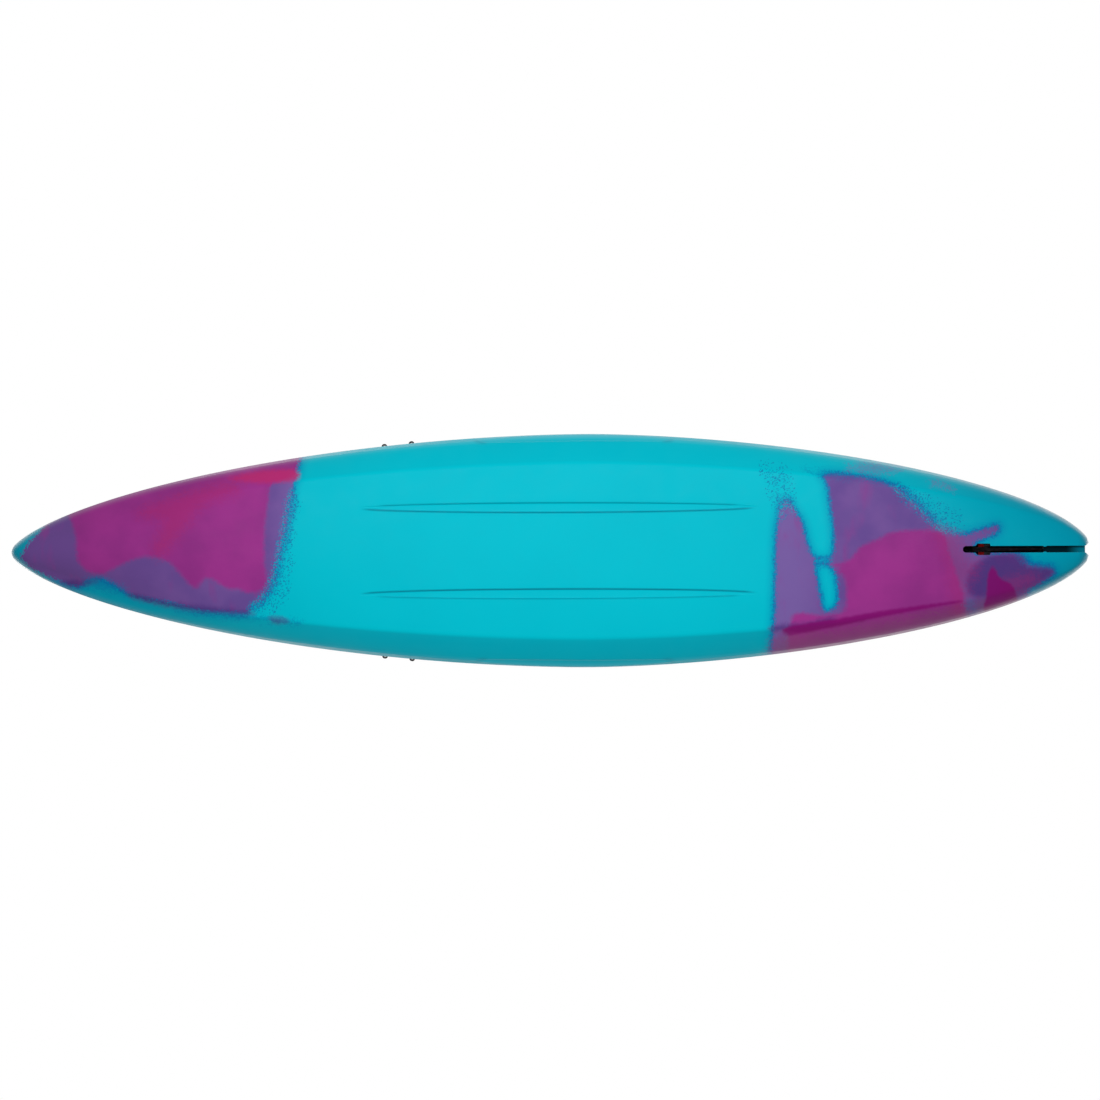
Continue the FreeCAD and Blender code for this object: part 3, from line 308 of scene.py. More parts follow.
def bottom_row(x):
    """Half a section from the centreline to the widest line, on the port side. Also how many of its
    points lie on the roof of the cut along the keel."""
    s = lines(x)
    half, inner, roof, mid, depth = bottom_cut(x, s)
    lip = min(LIP, 0.25 * max(0.0, s.chine_y - half))
    row = []

    def cut_point(y, z):
        level = bottom_z(s, y)
        row.append((y, level + (max(z, level) - level) * depth))

    for q in (0.0, 0.5, 1.0):
        cut_point(inner * q, roof)
    on_roof = len(row)
    for p in (0.33, 0.66, 1.0):
        cut_point(inner, roof + (mid - roof) * p)
    cut_point(half, mid)
    edge = bottom_z(s, half) + lip
    for p in (0.33, 0.66):
        cut_point(half, mid + (edge - mid) * p)
    for a in LIP_ANGLES:
        y = half + lip * (1 - cos(a))
        cut_point(y, bottom_z(s, y) + lip * (1 - sin(a)))
    start = half + lip
    u = (x - FLUTE_X) / FLUTE_HALF_LENGTH
    swell = sqrt(max(0.0, 1 - u * u))
    middle = min(FLUTE_Y, start + 0.6 * (s.chine_y - start))
    width = min(max(FLUTE_HALF_WIDTH * swell, 0.0015), 0.15 * (s.chine_y - start))
    soften = min(CHINE_ROUND, 0.3 * (s.chine_y - middle - width))
    ys = spread(start, middle - width, 5)
    row += [(y, bottom_z(s, y)) for y in ys]
    for v, d in FLUTE_PROFILE:
        y = middle + width * v
        row.append((y, bottom_z(s, y) + FLUTE_DEPTH * swell * d))
    row += [(y, bottom_z(s, y)) for y in spread(middle + width, s.chine_y - soften, 6)]
    # the lower rail
    slope = min((s.half - s.chine_y) * tan(RAIL_SLOPE), 0.8 * (s.widest - s.chine))
    rail = [(s.chine_y, s.chine), (s.half, s.chine + slope), (s.half, s.widest)]
    reach = hypot(rail[1][0] - rail[0][0], rail[1][1] - rail[0][1])
    t_soft = min(0.3, soften / (2 * reach + 1e-9))
    before = (s.chine_y - soften, bottom_z(s, s.chine_y - soften))
    corner = (s.chine_y, max(bottom_z(s, s.chine_y), 0.0))
    after = quadratic(*rail, t_soft)
    row += [quadratic(before, corner, after, t) for t in ROUND_STOPS]
    u = (x - SCOOP_X) / SCOOP_HALF_LENGTH
    swell = sqrt(max(0.0, 1 - u * u))
    width = SCOOP_SPREAD * max(swell, 0.08)
    for t in spread(t_soft, SCOOP_STATION - width, 4):
        row.append(quadratic(*rail, t))
    for v, d in SCOOP_PROFILE:
        t = SCOOP_STATION + width * v
        (y, z), (dy, dz) = quadratic(*rail, t), quadratic_inwards(*rail, t)
        push = SCOOP_DEPTH * swell * d
        row.append((y + dy * push, z + dz * push))
    row.append(quadratic(*rail, 0.95))
    row += seam_points(rail, (0.97, 0.985, 1.0))
    turn = smooth(X_BOW - BOW_ROUND, X_BOW - 0.02, x)
    if turn > 0:
        deep = s.widest - s.keel
        for i, (y, z) in enumerate(row):
            share = sqrt(max(0.0, 1 - (y / max(s.half, 1e-6)) ** 2))
            row[i] = y, z + (s.widest - deep * share - z) * turn
    return row, on_roof


def seam_points(rail, stations):
    """The last points of a rail up to the parting line, which stands slightly proud."""
    points = []
    for t in stations:
        (y, z), (dy, dz) = quadratic(*rail, t), quadratic_inwards(*rail, t)
        proud = SEAM_PROUD * min(1.0, (t - stations[0]) / (stations[1] - stations[0]))
        points.append((y - dy * proud, z - dz * proud))
    return points


def deck_row(x):
    """Half a section from the deck's centreline to the widest line, on the port side."""
    s = lines(x)
    half, floor, depth = deck_cut(x, s)
    curve = deck_curve(s)
    lip = min(2 * LIP, 0.25 * max(0.0, s.edge_y - half))
    ramp = smooth(STAND_STERN + STAND_SLOPE, STAND_STERN, x)
    ramp = max(ramp, smooth(STAND_BOW - STAND_SLOPE, STAND_BOW, x))
    stand = DECK_FLAT + STAND_RISE * ramp

    def level(y):
        crown = float(np.interp(y, *curve))
        if ramp >= 1.0:
            return crown
        h = max(0.0, STAND_SOFT - abs(crown - stand)) / STAND_SOFT
        return min(crown, stand) - h * h * STAND_SOFT / 4

    row = []

    def cut_point(y, z):
        top = level(y)
        row.append((y, top + (min(z, top) - top) * depth))

    for q in (0.0, 0.35, 0.7, 1.0):
        cut_point(half * q, floor)
    on_roof = len(row)
    edge = level(half) - lip
    for p in (0.33, 0.66):
        cut_point(half, floor + (edge - floor) * p)
    for a in LIP_ANGLES:
        y = half + lip * (1 - cos(a))
        cut_point(y, level(y) - lip * (1 - sin(a)))
    soften = min(SHOULDER_ROUND, 0.3 * (s.edge_y - half - lip))
    row += [(y, level(y)) for y in spread(half + lip, s.edge_y - soften, 15)]
    rail = [(s.half, s.widest), (s.half, s.edge), (s.edge_y, s.edge)]
    reach = hypot(rail[1][0] - rail[2][0], rail[1][1] - rail[2][1])
    t_soft = 1 - min(0.4, soften / (2 * reach + 1e-9))
    before = (s.edge_y - soften, level(s.edge_y - soften))
    after = quadratic(*rail, t_soft)
    row += [quadratic(before, rail[2], after, t) for t in ROUND_STOPS]
    row += [quadratic(*rail, t) for t in spread(t_soft, 0.06, 9)]
    row += seam_points(rail, (0.045, 0.022, 0.0))
    return row, on_roof


# ---- meshes ----
def shown(name, data):
    obj = bpy.data.objects.new(name, data)
    bpy.context.scene.collection.objects.link(obj)
    return obj


def new_object(name, verts, faces, body, slot):
    mesh = bpy.data.meshes.new(name)
    mesh.from_pydata([tuple(v) for v in verts], [], faces)
    work = bmesh.new()
    work.from_mesh(mesh)
    bmesh.ops.remove_doubles(work, verts=work.verts, dist=0.00003)
    bmesh.ops.dissolve_degenerate(work, edges=work.edges, dist=0.00001)
    bmesh.ops.recalc_face_normals(work, faces=work.faces)
    work.to_mesh(mesh)
    work.free()
    obj = shown(name, mesh)
    mesh.polygons.foreach_set("use_smooth", [True] * len(mesh.polygons))
    mesh.materials.append(FINISHES[slot])
    if body:
        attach(obj, body)
    return obj


def grid_faces(rows, cols, start=0, skip=lambda i, j: False, closed=False):
    faces = []
    for i in range(rows - 1):
        for j in range(cols if closed else cols - 1):
            if skip(i, j):
                continue
            k = (j + 1) % cols
            a, b = start + i * cols, start + (i + 1) * cols
            faces.append((a + j, b + j, b + k, a + k))
    return faces


def half_hull(row_at, xs):
    """Both sides of the bottom or the deck, from one half section at each station."""
    verts, faces = [], []
    rows = [row_at(x) for x in xs]
    cols, roof = len(rows[0][0]), rows[0][1]
    gone = [x <= NECK_X + STEP / 2 for x in xs]  # in the notch, where the cut has no roof
    for side in (1, -1):
        start = len(verts)
        verts += [(x, side * y, z) for x, (row, _) in zip(xs, rows) for y, z in row]
        faces += grid_faces(len(xs), cols, start, lambda i, j: j < roof - 1 and gone[i] and gone[i + 1])
    return verts, faces


def hull():
    xs = hull_stations()
    verts, faces = half_hull(bottom_row, xs)
    more, more_faces = half_hull(deck_row, xs)
    faces += [tuple(i + len(verts) for i in face) for face in more_faces]
    obj = new_object("hull_moulding", verts + more, faces, "hull", "moulded_hull")
    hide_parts("hull_shell")
    obj.data.set_sharp_from_angle(angle=radians(50))
    modifier = obj.modifiers.new("normals", "WEIGHTED_NORMAL")
    modifier.keep_sharp = True
    return obj


# ---- where each colour of plastic lies, and some painted shade and highlight on the rails: closed outlines in X and Y, in millimetres ----
ZONES = {"violet": [
    [(1872, -15), (1857, 14), (1845, 34), (1820, 60), (1790, 96), (1770, 170), (1470, 360), (880, 470),
     (890, 315), (915, 220), (925, 160), (945, 65), (970, -40), (990, -110), (1025, -165), (1065, -190),
     (1075, -215), (1150, -211), (1230, -205), (1335, -180), (1460, -155), (1515, -130), (1565, -100),
     (1605, -90), (1640, -100), (1665, -118), (1710, -110), (1790, -80), (1845, -50)],
    [(-775, -450), (-780, -370), (-795, -250), (-800, -80), (-805, 70), (-822, 150), (-840, 165),
     (-865, 135), (-890, 95), (-905, 30), (-922, -15), (-945, -33), (-990, -34), (-1005, -10),
     (-1010, 40), (-1005, 95), (-995, 160), (-985, 235), (-972, 262), (-1030, 265), (-1130, 252),
     (-1215, 220), (-1270, 175), (-1320, 130), (-1350, 95), (-1385, 65), (-1460, 50), (-1535, 70),
     (-1585, 82), (-1575, 58), (-1510, 30), (-1490, 0), (-1510, -20), (-1590, -16), (-1665, -22),
     (-1695, -55), (-1765, -68), (-1780, -85), (-1740, -115), (-1685, -155), (-1640, -300), (-885, -500)],
], "magenta": [
    [(1690, 105), (1675, 35), (1670, -30), (1630, -70), (1585, -78), (1540, -55), (1470, -25),
     (1410, -16), (1350, -35), (1315, -70), (1275, -115), (1245, -125), (1225, -95), (1195, -97),
     (1145, -128), (1105, -132), (1060, -145), (1010, -130), (1003, -90), (1010, -40), (1010, 65),
     (1000, 160), (985, 235), (930, 260), (880, 310), (870, 470), (1470, 360), (1710, 200)],
    [(-995, -60), (-1060, -35), (-1100, 10), (-1155, 35), (-1210, 60), (-1290, 70), (-1360, 65),
     (-1400, 45), (-1410, 0), (-1425, -45), (-1440, -95), (-1462, -160), (-1470, -230), (-1470, -340),
     (-900, -520), (-845, -450), (-840, -330), (-850, -255), (-875, -224), (-965, -232), (-1040, -215),
     (-1047, -135), (-1040, -90)],
], "pink": [
    [(1135, 262), (1030, 285), (905, 290), (895, 255), (990, 243), (1080, 248)],
], "rose": [
    [(1460, 140), (1270, 215), (1135, 245), (1100, 215), (1180, 180), (1240, 150), (1305, 65),
     (1375, -10), (1400, 20), (1370, 105)],
    [(-1360, 70), (-1445, 45), (-1475, -30), (-1515, -45), (-1505, -95), (-1480, -130), (-1490, -220),
     (-1430, -220), (-1400, -50)],
    [(-1600, -115), (-1690, -90), (-1720, -115), (-1620, -170)],
], "pale_rail_highlight": [
    # painted highlight: the pale fade of the starboard rail near the stern, below the dark line
    [(-800, -318), (-1020, -285), (-1190, -252), (-1430, -208), (-1560, -190), (-1580, -300),
     (-1200, -460), (-780, -520)],
], "dark": [
    [(992, -233), (950, -234), (928, -247), (970, -253)],
    [(-1480, -80), (-1560, -22), (-1670, -25), (-1690, -58), (-1765, -65), (-1780, -85), (-1740, -115),
     (-1650, -150), (-1535, -170), (-1480, -155)],
    # painted shade: a dark line along the starboard rail just below the chine, ahead of the stern's magenta
    [(-790, -285), (-790, -268), (-900, -258), (-1000, -240), (-1000, -255), (-900, -275)],
    [(1470, -150), (1300, -186), (1080, -207), (1070, -222), (1300, -202), (1470, -164)],
    [(1720, -100), (1640, -102), (1590, -90), (1630, -114), (1700, -118)],
], "deep_magenta_and_rail_shade": [
    [(-1540, -230), (-1545, -150), (-1550, -85), (-1570, -60), (-1590, -100), (-1640, -135),
     (-1650, -220)],
    # painted shade: a dark line along the starboard rail just below the chine
    [(-840, -272), (-1020, -243), (-1190, -214), (-1430, -183), (-1430, -191), (-1190, -235),
     (-1020, -270), (-840, -302)],
], "blue": [
    [(1650, -110), (1605, -85), (1560, -100), (1500, -130), (1565, -138)],
    [(1310, -205), (1190, -218), (1060, -226), (900, -245), (900, -256), (1060, -237), (1190, -229),
     (1310, -213)],
    [(-1655, -27), (-1715, -37), (-1765, -55), (-1790, -67), (-1770, -67), (-1690, -55)],
    [(-900, 285), (-1000, 270), (-1100, 262), (-1200, 235), (-1210, 228), (-1100, 250), (-990, 258)],
    [(-1475, -225), (-1470, -185), (-1495, -180), (-1505, -225)],
], "mauve": [
    [(-1050, 287), (-1130, 306), (-1250, 290), (-1160, 272)],
    [(-1350, 240), (-1390, 235), (-1430, 212), (-1380, 222)],
], "splatter": [
    [(-740, 310), (-850, 290), (-870, 200), (-860, 80), (-820, 100), (-770, 190)],
    [(-1240, 240), (-1350, 190), (-1460, 130), (-1450, 70), (-1380, 60), (-1200, 170)],
    [(960, -215), (1050, -215), (1060, -180), (1030, -150), (1000, -60), (980, 60), (965, 180),
     (910, 220), (880, 180), (900, 50), (910, -100)],
]}
TURQUOISE_GAP = [
    [(-935, -45), (-985, -50), (-1010, -80), (-1020, -130), (-1018, -190), (-995, -215), (-965, -213),
     (-950, -150), (-938, -85)],
]
LAYER_RANGE = -0.1, 1.0
CURVE_STEPS = 4  # points drawn between two given ones


def closed_curve(points):
    """A smooth closed curve in metres through the points."""
    p = np.array(points) / 1000
    a, b, c, d = (np.roll(p, shift, axis=0)[:, None] for shift in (1, 0, -1, -2))
    t = (np.arange(CURVE_STEPS) / CURVE_STEPS)[None, :, None]
    curve = b + 0.5 * t * (c - a + t * (2 * a - 5 * b + 4 * c - d + t * (3 * (b - c) + d - a)))
    return curve.reshape(-1, 2)


def inside_distance(places, outline):
    """Distance to a closed outline, positive inside it."""
    curve = closed_curve(outline)
    ends = np.roll(curve, -1, axis=0)
    nearest = np.full(len(places), 9.0)
    inside = np.zeros(len(places), bool)
    for a, b in zip(curve, ends):
        way = b - a
        along = np.clip(((places - a) @ way) / (way @ way + 1e-12), 0, 1)
        nearest = np.minimum(nearest, np.linalg.norm(places - a - along[:, None] * way, axis=1))
        if a[1] != b[1]:
            crosses = (a[1] > places[:, 1]) != (b[1] > places[:, 1])
            at = a[0] + (places[:, 1] - a[1]) * way[0] / way[1]
            inside ^= crosses & (places[:, 0] < at)
    return np.where(inside, nearest, -nearest)


def zone_distance(places, outlines):
    return np.max([inside_distance(places, outline) for outline in outlines], axis=0)


def shaded_parts(points):
    """Layers in shares of 1, each painted light: painted shade inside the cut along the keel, painted shade marks
    at the ends of the scoops, painted shade on the lower rails, and a painted highlight of the studio's light in a
    pale band along the widest line."""
    recess, crease_shade, rail, rim_highlight = (np.zeros(len(points)) for _ in range(4))
    for i, (x, y, z) in enumerate(points):
        s = lines(x)
        above = z - bottom_z(s, abs(y))
        # painted shade inside the cut along the keel, lighter towards the open stern
        if x < SLOT_FRONT and abs(y) < POCKET_HALF + 0.001 and z < SLOT_ROOF + 0.001:
            recess[i] = smooth(LIP, 0.02, above) * (1 - 0.7 * smooth(SLOT_BACK - 0.08, X_STERN, x))
        # painted highlight: a pale band on both sides of the widest line
        if z > s.widest:
            rim_highlight[i] = smooth(0.01, 0.0, z - s.widest)
            continue
        rim_highlight[i] = smooth(0.028, 0.0, s.half - abs(y)) ** 2
        # painted shade on the lower rail, from the chine outwards
        outwards = (abs(y) - s.chine_y) / max(s.half - s.chine_y, 1e-6)
        rail[i] = smooth(-0.04, 0.12, outwards)
        # painted shade: dark marks where each scoop ends, on the lower rail
        end = (abs(x - SCOOP_X) / SCOOP_HALF_LENGTH - 0.94) / 0.06
        side = (outwards - 0.84 - 0.06 * end) / 0.05
        crease_shade[i] = SCOOP_SHADE * exp(-(end**4) - side * side)
    return recess, crease_shade, rail, rim_highlight


def paint_zones(obj):
    """Stores how deep each point lies in each colour, and the painted shade and highlight layers, for the hull's
    material.
    """
    mesh = obj.data
    points = np.empty(len(mesh.vertices) * 3)
    mesh.vertices.foreach_get("co", points)
    points = points.reshape(-1, 3)
    places = points[:, :2]
    layers = {name: zone_distance(places, outlines) for name, outlines in ZONES.items()}
    layers["violet"] = np.minimum(layers["violet"], -zone_distance(places, TURQUOISE_GAP))
    layers["recess"], layers["crease_shade"], layers["rail"], layers["rim_highlight"] = shaded_parts(points)
    for name, values in layers.items():
        attribute = mesh.attributes.new(name, "FLOAT", "POINT")
        attribute.data.foreach_set("value", np.clip(values, *LAYER_RANGE))


# ---- materials ----
def linear(red, green, blue):
    """A colour given as 0 to 255 screen values, in the renderer's linear scale."""
    def one(v):
        v /= 255
        return v / 12.92 if v <= 0.04045 else ((v + 0.055) / 1.055) ** 2.4
    return one(red), one(green), one(blue), 1.0


class Shader:
    """A material or a world, and short names for the nodes that it is built from."""

    def __init__(self, name, group=bpy.data.materials):
        self.owner = group.new(name)
        self.owner.use_nodes = True
        self.tree = self.owner.node_tree
        self.surface = self.tree.nodes.get("Principled BSDF") or self.tree.nodes["Background"]
        self.place = self.node("TexCoord").outputs["Object"]

    def node(self, kind, **values):
        """A new node with its inputs linked or set by name."""
        return self.fill(self.tree.nodes.new("ShaderNode" + kind), values)

    def fill(self, node, values):
        for name, value in values.items():
            self.link(value, node.inputs[name.replace("_", " ")])
        return node

    def link(self, value, socket):
        """Feeds a socket from another one, from a number, or from a colour in screen values."""
        if isinstance(value, bpy.types.NodeSocket):
            self.tree.links.new(value, socket)
        else:
            socket.default_value = linear(*value) if isinstance(value, tuple) else value

    def set(self, **values):
        self.fill(self.surface, values)

    def math(self, operation, a, b=0.0, c=0.0, clamp=False):
        node = self.node("Math")
        node.operation, node.use_clamp = operation, clamp
        for value, socket in zip((a, b, c), node.inputs):
            self.link(value, socket)
        return node.outputs[0]

    def times(self, a, b):
        return self.math("MULTIPLY", a, b)

    def plus(self, a, b):
        return self.math("ADD", a, b)

    def minus(self, a, b):
        return self.math("SUBTRACT", a, b)

    def attribute(self, name):
        node = self.node("Attribute")
        node.attribute_name = name
        return node.outputs["Fac"]

    def fade(self, value, start, end, low=0.0, high=1.0):
        node = self.node("MapRange")
        node.interpolation_type = "SMOOTHSTEP"
        for v, socket in zip((value, start, end, low, high), node.inputs):
            self.link(v, socket)
        return node.outputs[0]

    def mix(self, factor, a, b):
        node = self.node("Mix")
        node.data_type = "RGBA"
        self.link(factor, node.inputs["Factor"])
        self.link(a, node.inputs[6])
        self.link(b, node.inputs[7])
        return node.outputs[2]

    def stretched(self, x, y, z):
        return self.node("Mapping", Scale=Vector((x, y, z)), Vector=self.place).outputs[0]

    def noise(self, size, detail=3.0, place=None, roughness=0.5):
        place = place or self.place
        node = self.node("TexNoise", Scale=1 / size, Detail=detail, Roughness=roughness, Vector=place)
        return node.outputs["Fac"]

    def cells(self, size, output="Color"):
        """One random value for each small cell, or the distance to its middle."""
        node = self.node("TexVoronoi", Scale=1 / size, Vector=self.place)
        if output == "Distance":
            return node.outputs["Distance"]
        return self.node("SeparateColor", Color=node.outputs["Color"]).outputs[0]

    def waves(self, size, direction, distortion):
        node = self.node("TexWave", Scale=0.31416 / size, Distortion=distortion, Vector=self.place)
        node.bands_direction = direction
        return node.outputs["Fac"]

    def axis(self, name):
        return self.node("SeparateXYZ", Vector=self.place).outputs[name]

    def bump(self, height, depth, strength=1.0):
        node = self.node("Bump", Distance=depth, Strength=strength, Height=height)
        self.set(Normal=node.outputs[0])


def channel_shade_lines(m):
    """Painted shade: a thin dark line at the foot of each channel's walls, darker on the side of the keel."""
    along = m.math("ABSOLUTE", m.minus(m.axis("X"), FLUTE_X))
    along = m.math("DIVIDE", along, FLUTE_HALF_LENGTH)
    swell = m.math("SQRT", m.math("SUBTRACT", 1.0, m.times(along, along), clamp=True))
    out = m.minus(m.math("ABSOLUTE", m.axis("Y")), FLUTE_Y)
    total = 0.0
    for foot, reach, strength in ((-0.93, 1.0, 1.0), (0.9, 0.93, 0.5)):
        off = m.math("ABSOLUTE", m.math("MULTIPLY_ADD", swell, -foot * FLUTE_HALF_WIDTH, out))
        ends = m.fade(along, reach, reach - 0.07, 0.0, strength)
        total = m.plus(m.times(m.fade(off, 0.0062, 0.0008), ends), total)
    return m.times(total, m.fade(m.axis("Z"), 0.05, 0.04))


def hull_material():
    """Moulded polyethylene: turquoise, with violet and magenta powder fused into both ends."""
    m = Shader("moulded_polyethylene")
    grain = m.minus(m.cells(0.0028), 0.5)
    drift = m.minus(m.noise(0.015, 4.0), 0.5)
    splatter = m.fade(m.attribute("splatter"), -0.02, 0.025)
    reach = m.math("MULTIPLY_ADD", splatter, 0.042, 0.015)
    shift = m.plus(m.times(grain, reach), m.times(drift, 0.018))
    small = m.plus(m.times(grain, 0.006), m.times(drift, 0.014))
    cloud = m.plus(m.times(grain, 0.03), m.times(drift, 0.05))

    def zone(name, soft, more, strength=1.0):
        return m.fade(m.plus(m.attribute(name), more), -soft, soft, 0.0, strength)

    x, y, depth = m.axis("X"), m.axis("Y"), m.attribute("violet")
    along = m.math("ABSOLUTE", x)
    # darker teal towards both ends: painted shade of the ends curving away from the light
    turquoise = m.mix(m.fade(along, 0.95, 1.85), (0, 196, 214), (0, 162, 190))
    turquoise = m.mix(m.fade(m.noise(0.35, 2.0), 0.35, 0.75, 0.0, 0.25), turquoise, (0, 186, 206))
    # painted shade on the lower rails, stronger on the starboard side as from a light to port, none near the bow
    rail = m.times(m.attribute("rail"), m.fade(x, 1.3, 1.75, 1.0, 0.0))
    rail = m.times(rail, m.fade(y, -0.1, 0.1, 0.3, 0.1))
    turquoise = m.mix(rail, turquoise, (0, 138, 168))
    near = m.plus(depth, shift)
    away = m.fade(x, 1.8, 1.7)
    halo = m.times(m.fade(depth, -0.045, 0.0, 0.0, 0.45), away)
    colour = m.mix(halo, turquoise, (0, 132, 182))
    halo = m.times(m.fade(near, -0.018, 0.0, 0.0, 0.8), away)
    colour = m.mix(halo, colour, (10, 92, 170))
    dots = m.math("GREATER_THAN", m.plus(m.cells(0.0036), m.times(splatter, 0.24)), 1.04)
    colour = m.mix(m.times(dots, 0.7), colour, (22, 98, 168))
    violet = m.mix(m.fade(m.noise(0.12), 0.3, 0.7), (120, 86, 159), (106, 78, 152))
    violet = m.mix(m.fade(along, 1.02, 0.86, 0.0, 0.9), violet, (124, 98, 168))
    violet = m.mix(m.fade(x, 1.1, 1.8), violet, (112, 78, 150))
    haze = m.fade(m.noise(0.06, 3.0, m.stretched(1.0, 0.35, 1.0)), 0.52, 0.74, 0.0, 0.5)
    violet = m.mix(haze, violet, (146, 62, 146))
    violet = m.mix(m.fade(depth, -0.012, 0.003, 0.8, 0.0), violet, (28, 96, 168))
    body = zone("violet", 0.0035, shift)
    colour = m.mix(body, colour, violet)
    magenta = m.mix(m.fade(m.noise(0.15), 0.3, 0.7), (164, 55, 146), (150, 51, 138))
    colour = m.mix(m.times(zone("magenta", 0.011, small), body), colour, magenta)
    blush = m.fade(x, -1.0, 1.0, 0.35, 0.65)
    for name, soft, more, strength, tint in (
        ("pink", 0.012, small, 0.85, (196, 46, 116)),
        ("dark", 0.014, small, 0.75, (76, 50, 126)),
        # painted highlight on the starboard rail near the stern
        ("pale_rail_highlight", 0.03, cloud, 0.5, (142, 80, 122)),
        # the dark layer holds dark streaks and, in one outline, painted shade on the starboard rail
        ("rose", 0.034, cloud, blush, (176, 46, 120)),
        # a deep magenta blotch near the stern, and painted shade along the starboard rail
        ("deep_magenta_and_rail_shade", 0.007, m.times(drift, 0.008), 0.9, (134, 14, 112)),
        ("blue", 0.01, cloud, 0.42, (4, 112, 176)),
        ("mauve", 0.014, cloud, 0.45, (126, 84, 164)),
    ):
        colour = m.mix(zone(name, soft, more, strength), colour, tint)
    # painted shade: dark marks at the scoops' ends and dark lines at the feet of the channel walls
    crease_shade = m.plus(m.attribute("crease_shade"), channel_shade_lines(m))
    colour = m.mix(m.times(crease_shade, 0.6), colour, (0, 112, 142))
    # painted highlight: a pale band along the widest line, stronger on the port side
    rim_highlight = m.times(m.attribute("rim_highlight"), m.fade(y, -0.05, 0.05, 0.1, 0.2))
    colour = m.mix(rim_highlight, colour, (208, 214, 217))
    # painted shade: the cut along the keel darkened almost to black
    colour = m.mix(m.times(m.attribute("recess"), 0.97), colour, (0, 10, 18))
    m.set(Base_Color=colour, Specular_IOR_Level=0.42, Sheen_Weight=0.15, Sheen_Roughness=0.3)
    m.set(Roughness=m.fade(m.noise(0.05), 0.3, 0.7, 0.28, 0.36))
    m.bump(m.plus(m.noise(0.0012, 2.0), m.times(m.noise(0.06, 2.0), 1.2)), 0.00012)
    return m.owner


def eva_material():
    """Closed-cell foam sheet, embossed with small diamonds."""
    m = Shader("embossed_foam")
    x, y = m.axis("X"), m.axis("Y")
    pitch = 2 * pi / 0.009
    first = m.math("SINE", m.times(m.plus(x, y), pitch))
    second = m.math("SINE", m.times(m.minus(x, y), pitch))
    diamond = m.math("MULTIPLY_ADD", m.times(first, second), 0.5, 0.5)
    cells = m.cells(0.0009, "Distance")
    tone = m.mix(m.fade(m.noise(0.05), 0.3, 0.7), (54, 59, 64), (60, 65, 70))
    tone = m.mix(m.fade(m.cells(0.0013), 0.86, 0.9, 0.0, 0.5), tone, (92, 104, 110))
    m.set(Base_Color=m.mix(m.times(diamond, 0.35), tone, (38, 42, 47)))
    m.set(Roughness=m.fade(diamond, 0.0, 1.0, 0.82, 0.95), Specular_IOR_Level=0.25)
    m.bump(m.plus(m.times(diamond, -1.0), m.times(cells, 0.3)), 0.0008, 0.7)
    return m.owner


def plastic_material(name, light, dark, rough=(0.42, 0.6), grain=0.0009, depth=0.00006):
    """Moulded nylon or rubber: fine spark-eroded grain and slight scuffing."""
    m = Shader(name)
    wear = m.fade(m.noise(0.014, 6.0, roughness=0.7), 0.42, 0.72)
    speck = m.fade(m.cells(grain * 1.5), 0.8, 0.95, 0.0, 0.35)
    m.set(Base_Color=m.mix(speck, m.mix(wear, dark, light), light))
    m.set(Roughness=m.fade(m.noise(0.02, 3.0), 0.3, 0.7, *rough))
    m.bump(m.plus(m.cells(grain, "Distance"), m.noise(grain * 4, 2.0)), depth)
    return m.owner


def metal_material():
    """Brushed and passivated stainless steel."""
    m = Shader("stainless_steel")
    brush = m.noise(0.0012, 3.0, m.stretched(0.08, 1.0, 1.0))
    tone = m.mix(m.fade(m.noise(0.01), 0.3, 0.7), (186, 188, 190), (160, 163, 167))
    m.set(Base_Color=m.mix(m.fade(brush, 0.4, 0.7, 0.0, 0.3), tone, (120, 123, 128)), Metallic=1.0)
    m.set(Roughness=m.fade(brush, 0.3, 0.7, 0.22, 0.38))
    m.bump(brush, 0.00002)
    return m.owner


def foam_material():
    m = Shader("bead_foam")
    beads = m.cells(0.004, "Distance")
    m.set(Base_Color=m.mix(m.fade(beads, 0.2, 0.6), (232, 232, 228), (196, 197, 196)), Roughness=0.9)
    m.bump(beads, 0.0006)
    return m.owner


def line_material():
    """Braided cord, dark with a light fleck in every few picks."""
    m = Shader("braided_cord")
    picks = m.waves(0.0022, "DIAGONAL", 1.0)
    fleck = m.fade(m.cells(0.0016), 0.88, 0.92)
    tone = m.mix(m.fade(picks, 0.2, 0.8), (20, 22, 26), (44, 48, 54))
    m.set(Base_Color=m.mix(fleck, tone, (30, 150, 166)), Roughness=0.78)
    m.bump(m.noise(0.0006, 2.0), 0.00008)
    return m.owner


FINISHES = {
    "moulded_hull": hull_material(),
    "deck_pad": eva_material(),
    "black_nylon": plastic_material("black_nylon", (44, 45, 50), (20, 21, 25)),
    "red_nylon": plastic_material("red_nylon", (112, 8, 10), (78, 2, 4)),
    "soft_rubber": plastic_material("soft_rubber", (40, 42, 44), (24, 25, 27), (0.65, 0.85), 0.0007),
    "stainless": metal_material(),
    "cord": line_material(),
    "foam_core": foam_material(),
}
GRAPHITE = plastic_material("graphite_nylon", (34, 33, 38), (14, 13, 18))  # the skeg's blade


# ---- deck pads ----
PAD_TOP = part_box("deck_pad_front")[1][2]
PAD_THICK = PAD_TOP - DECK_FLAT
PAD_CORNER, PAD_ROUND = 0.035, 0.0035
GROOVE_HALF, GROOVE_FALL = 0.0019, 0.0018
GROOVE_LANES, GROOVE_STEP = 0.048, 0.075
GROOVE_FIRST = 0.04  # from the pad's front edge to its first groove
PAD_WIDTH_RATIO = 0.59


def pad_edge(x):
    return PAD_WIDTH_RATIO * half_beam(x)


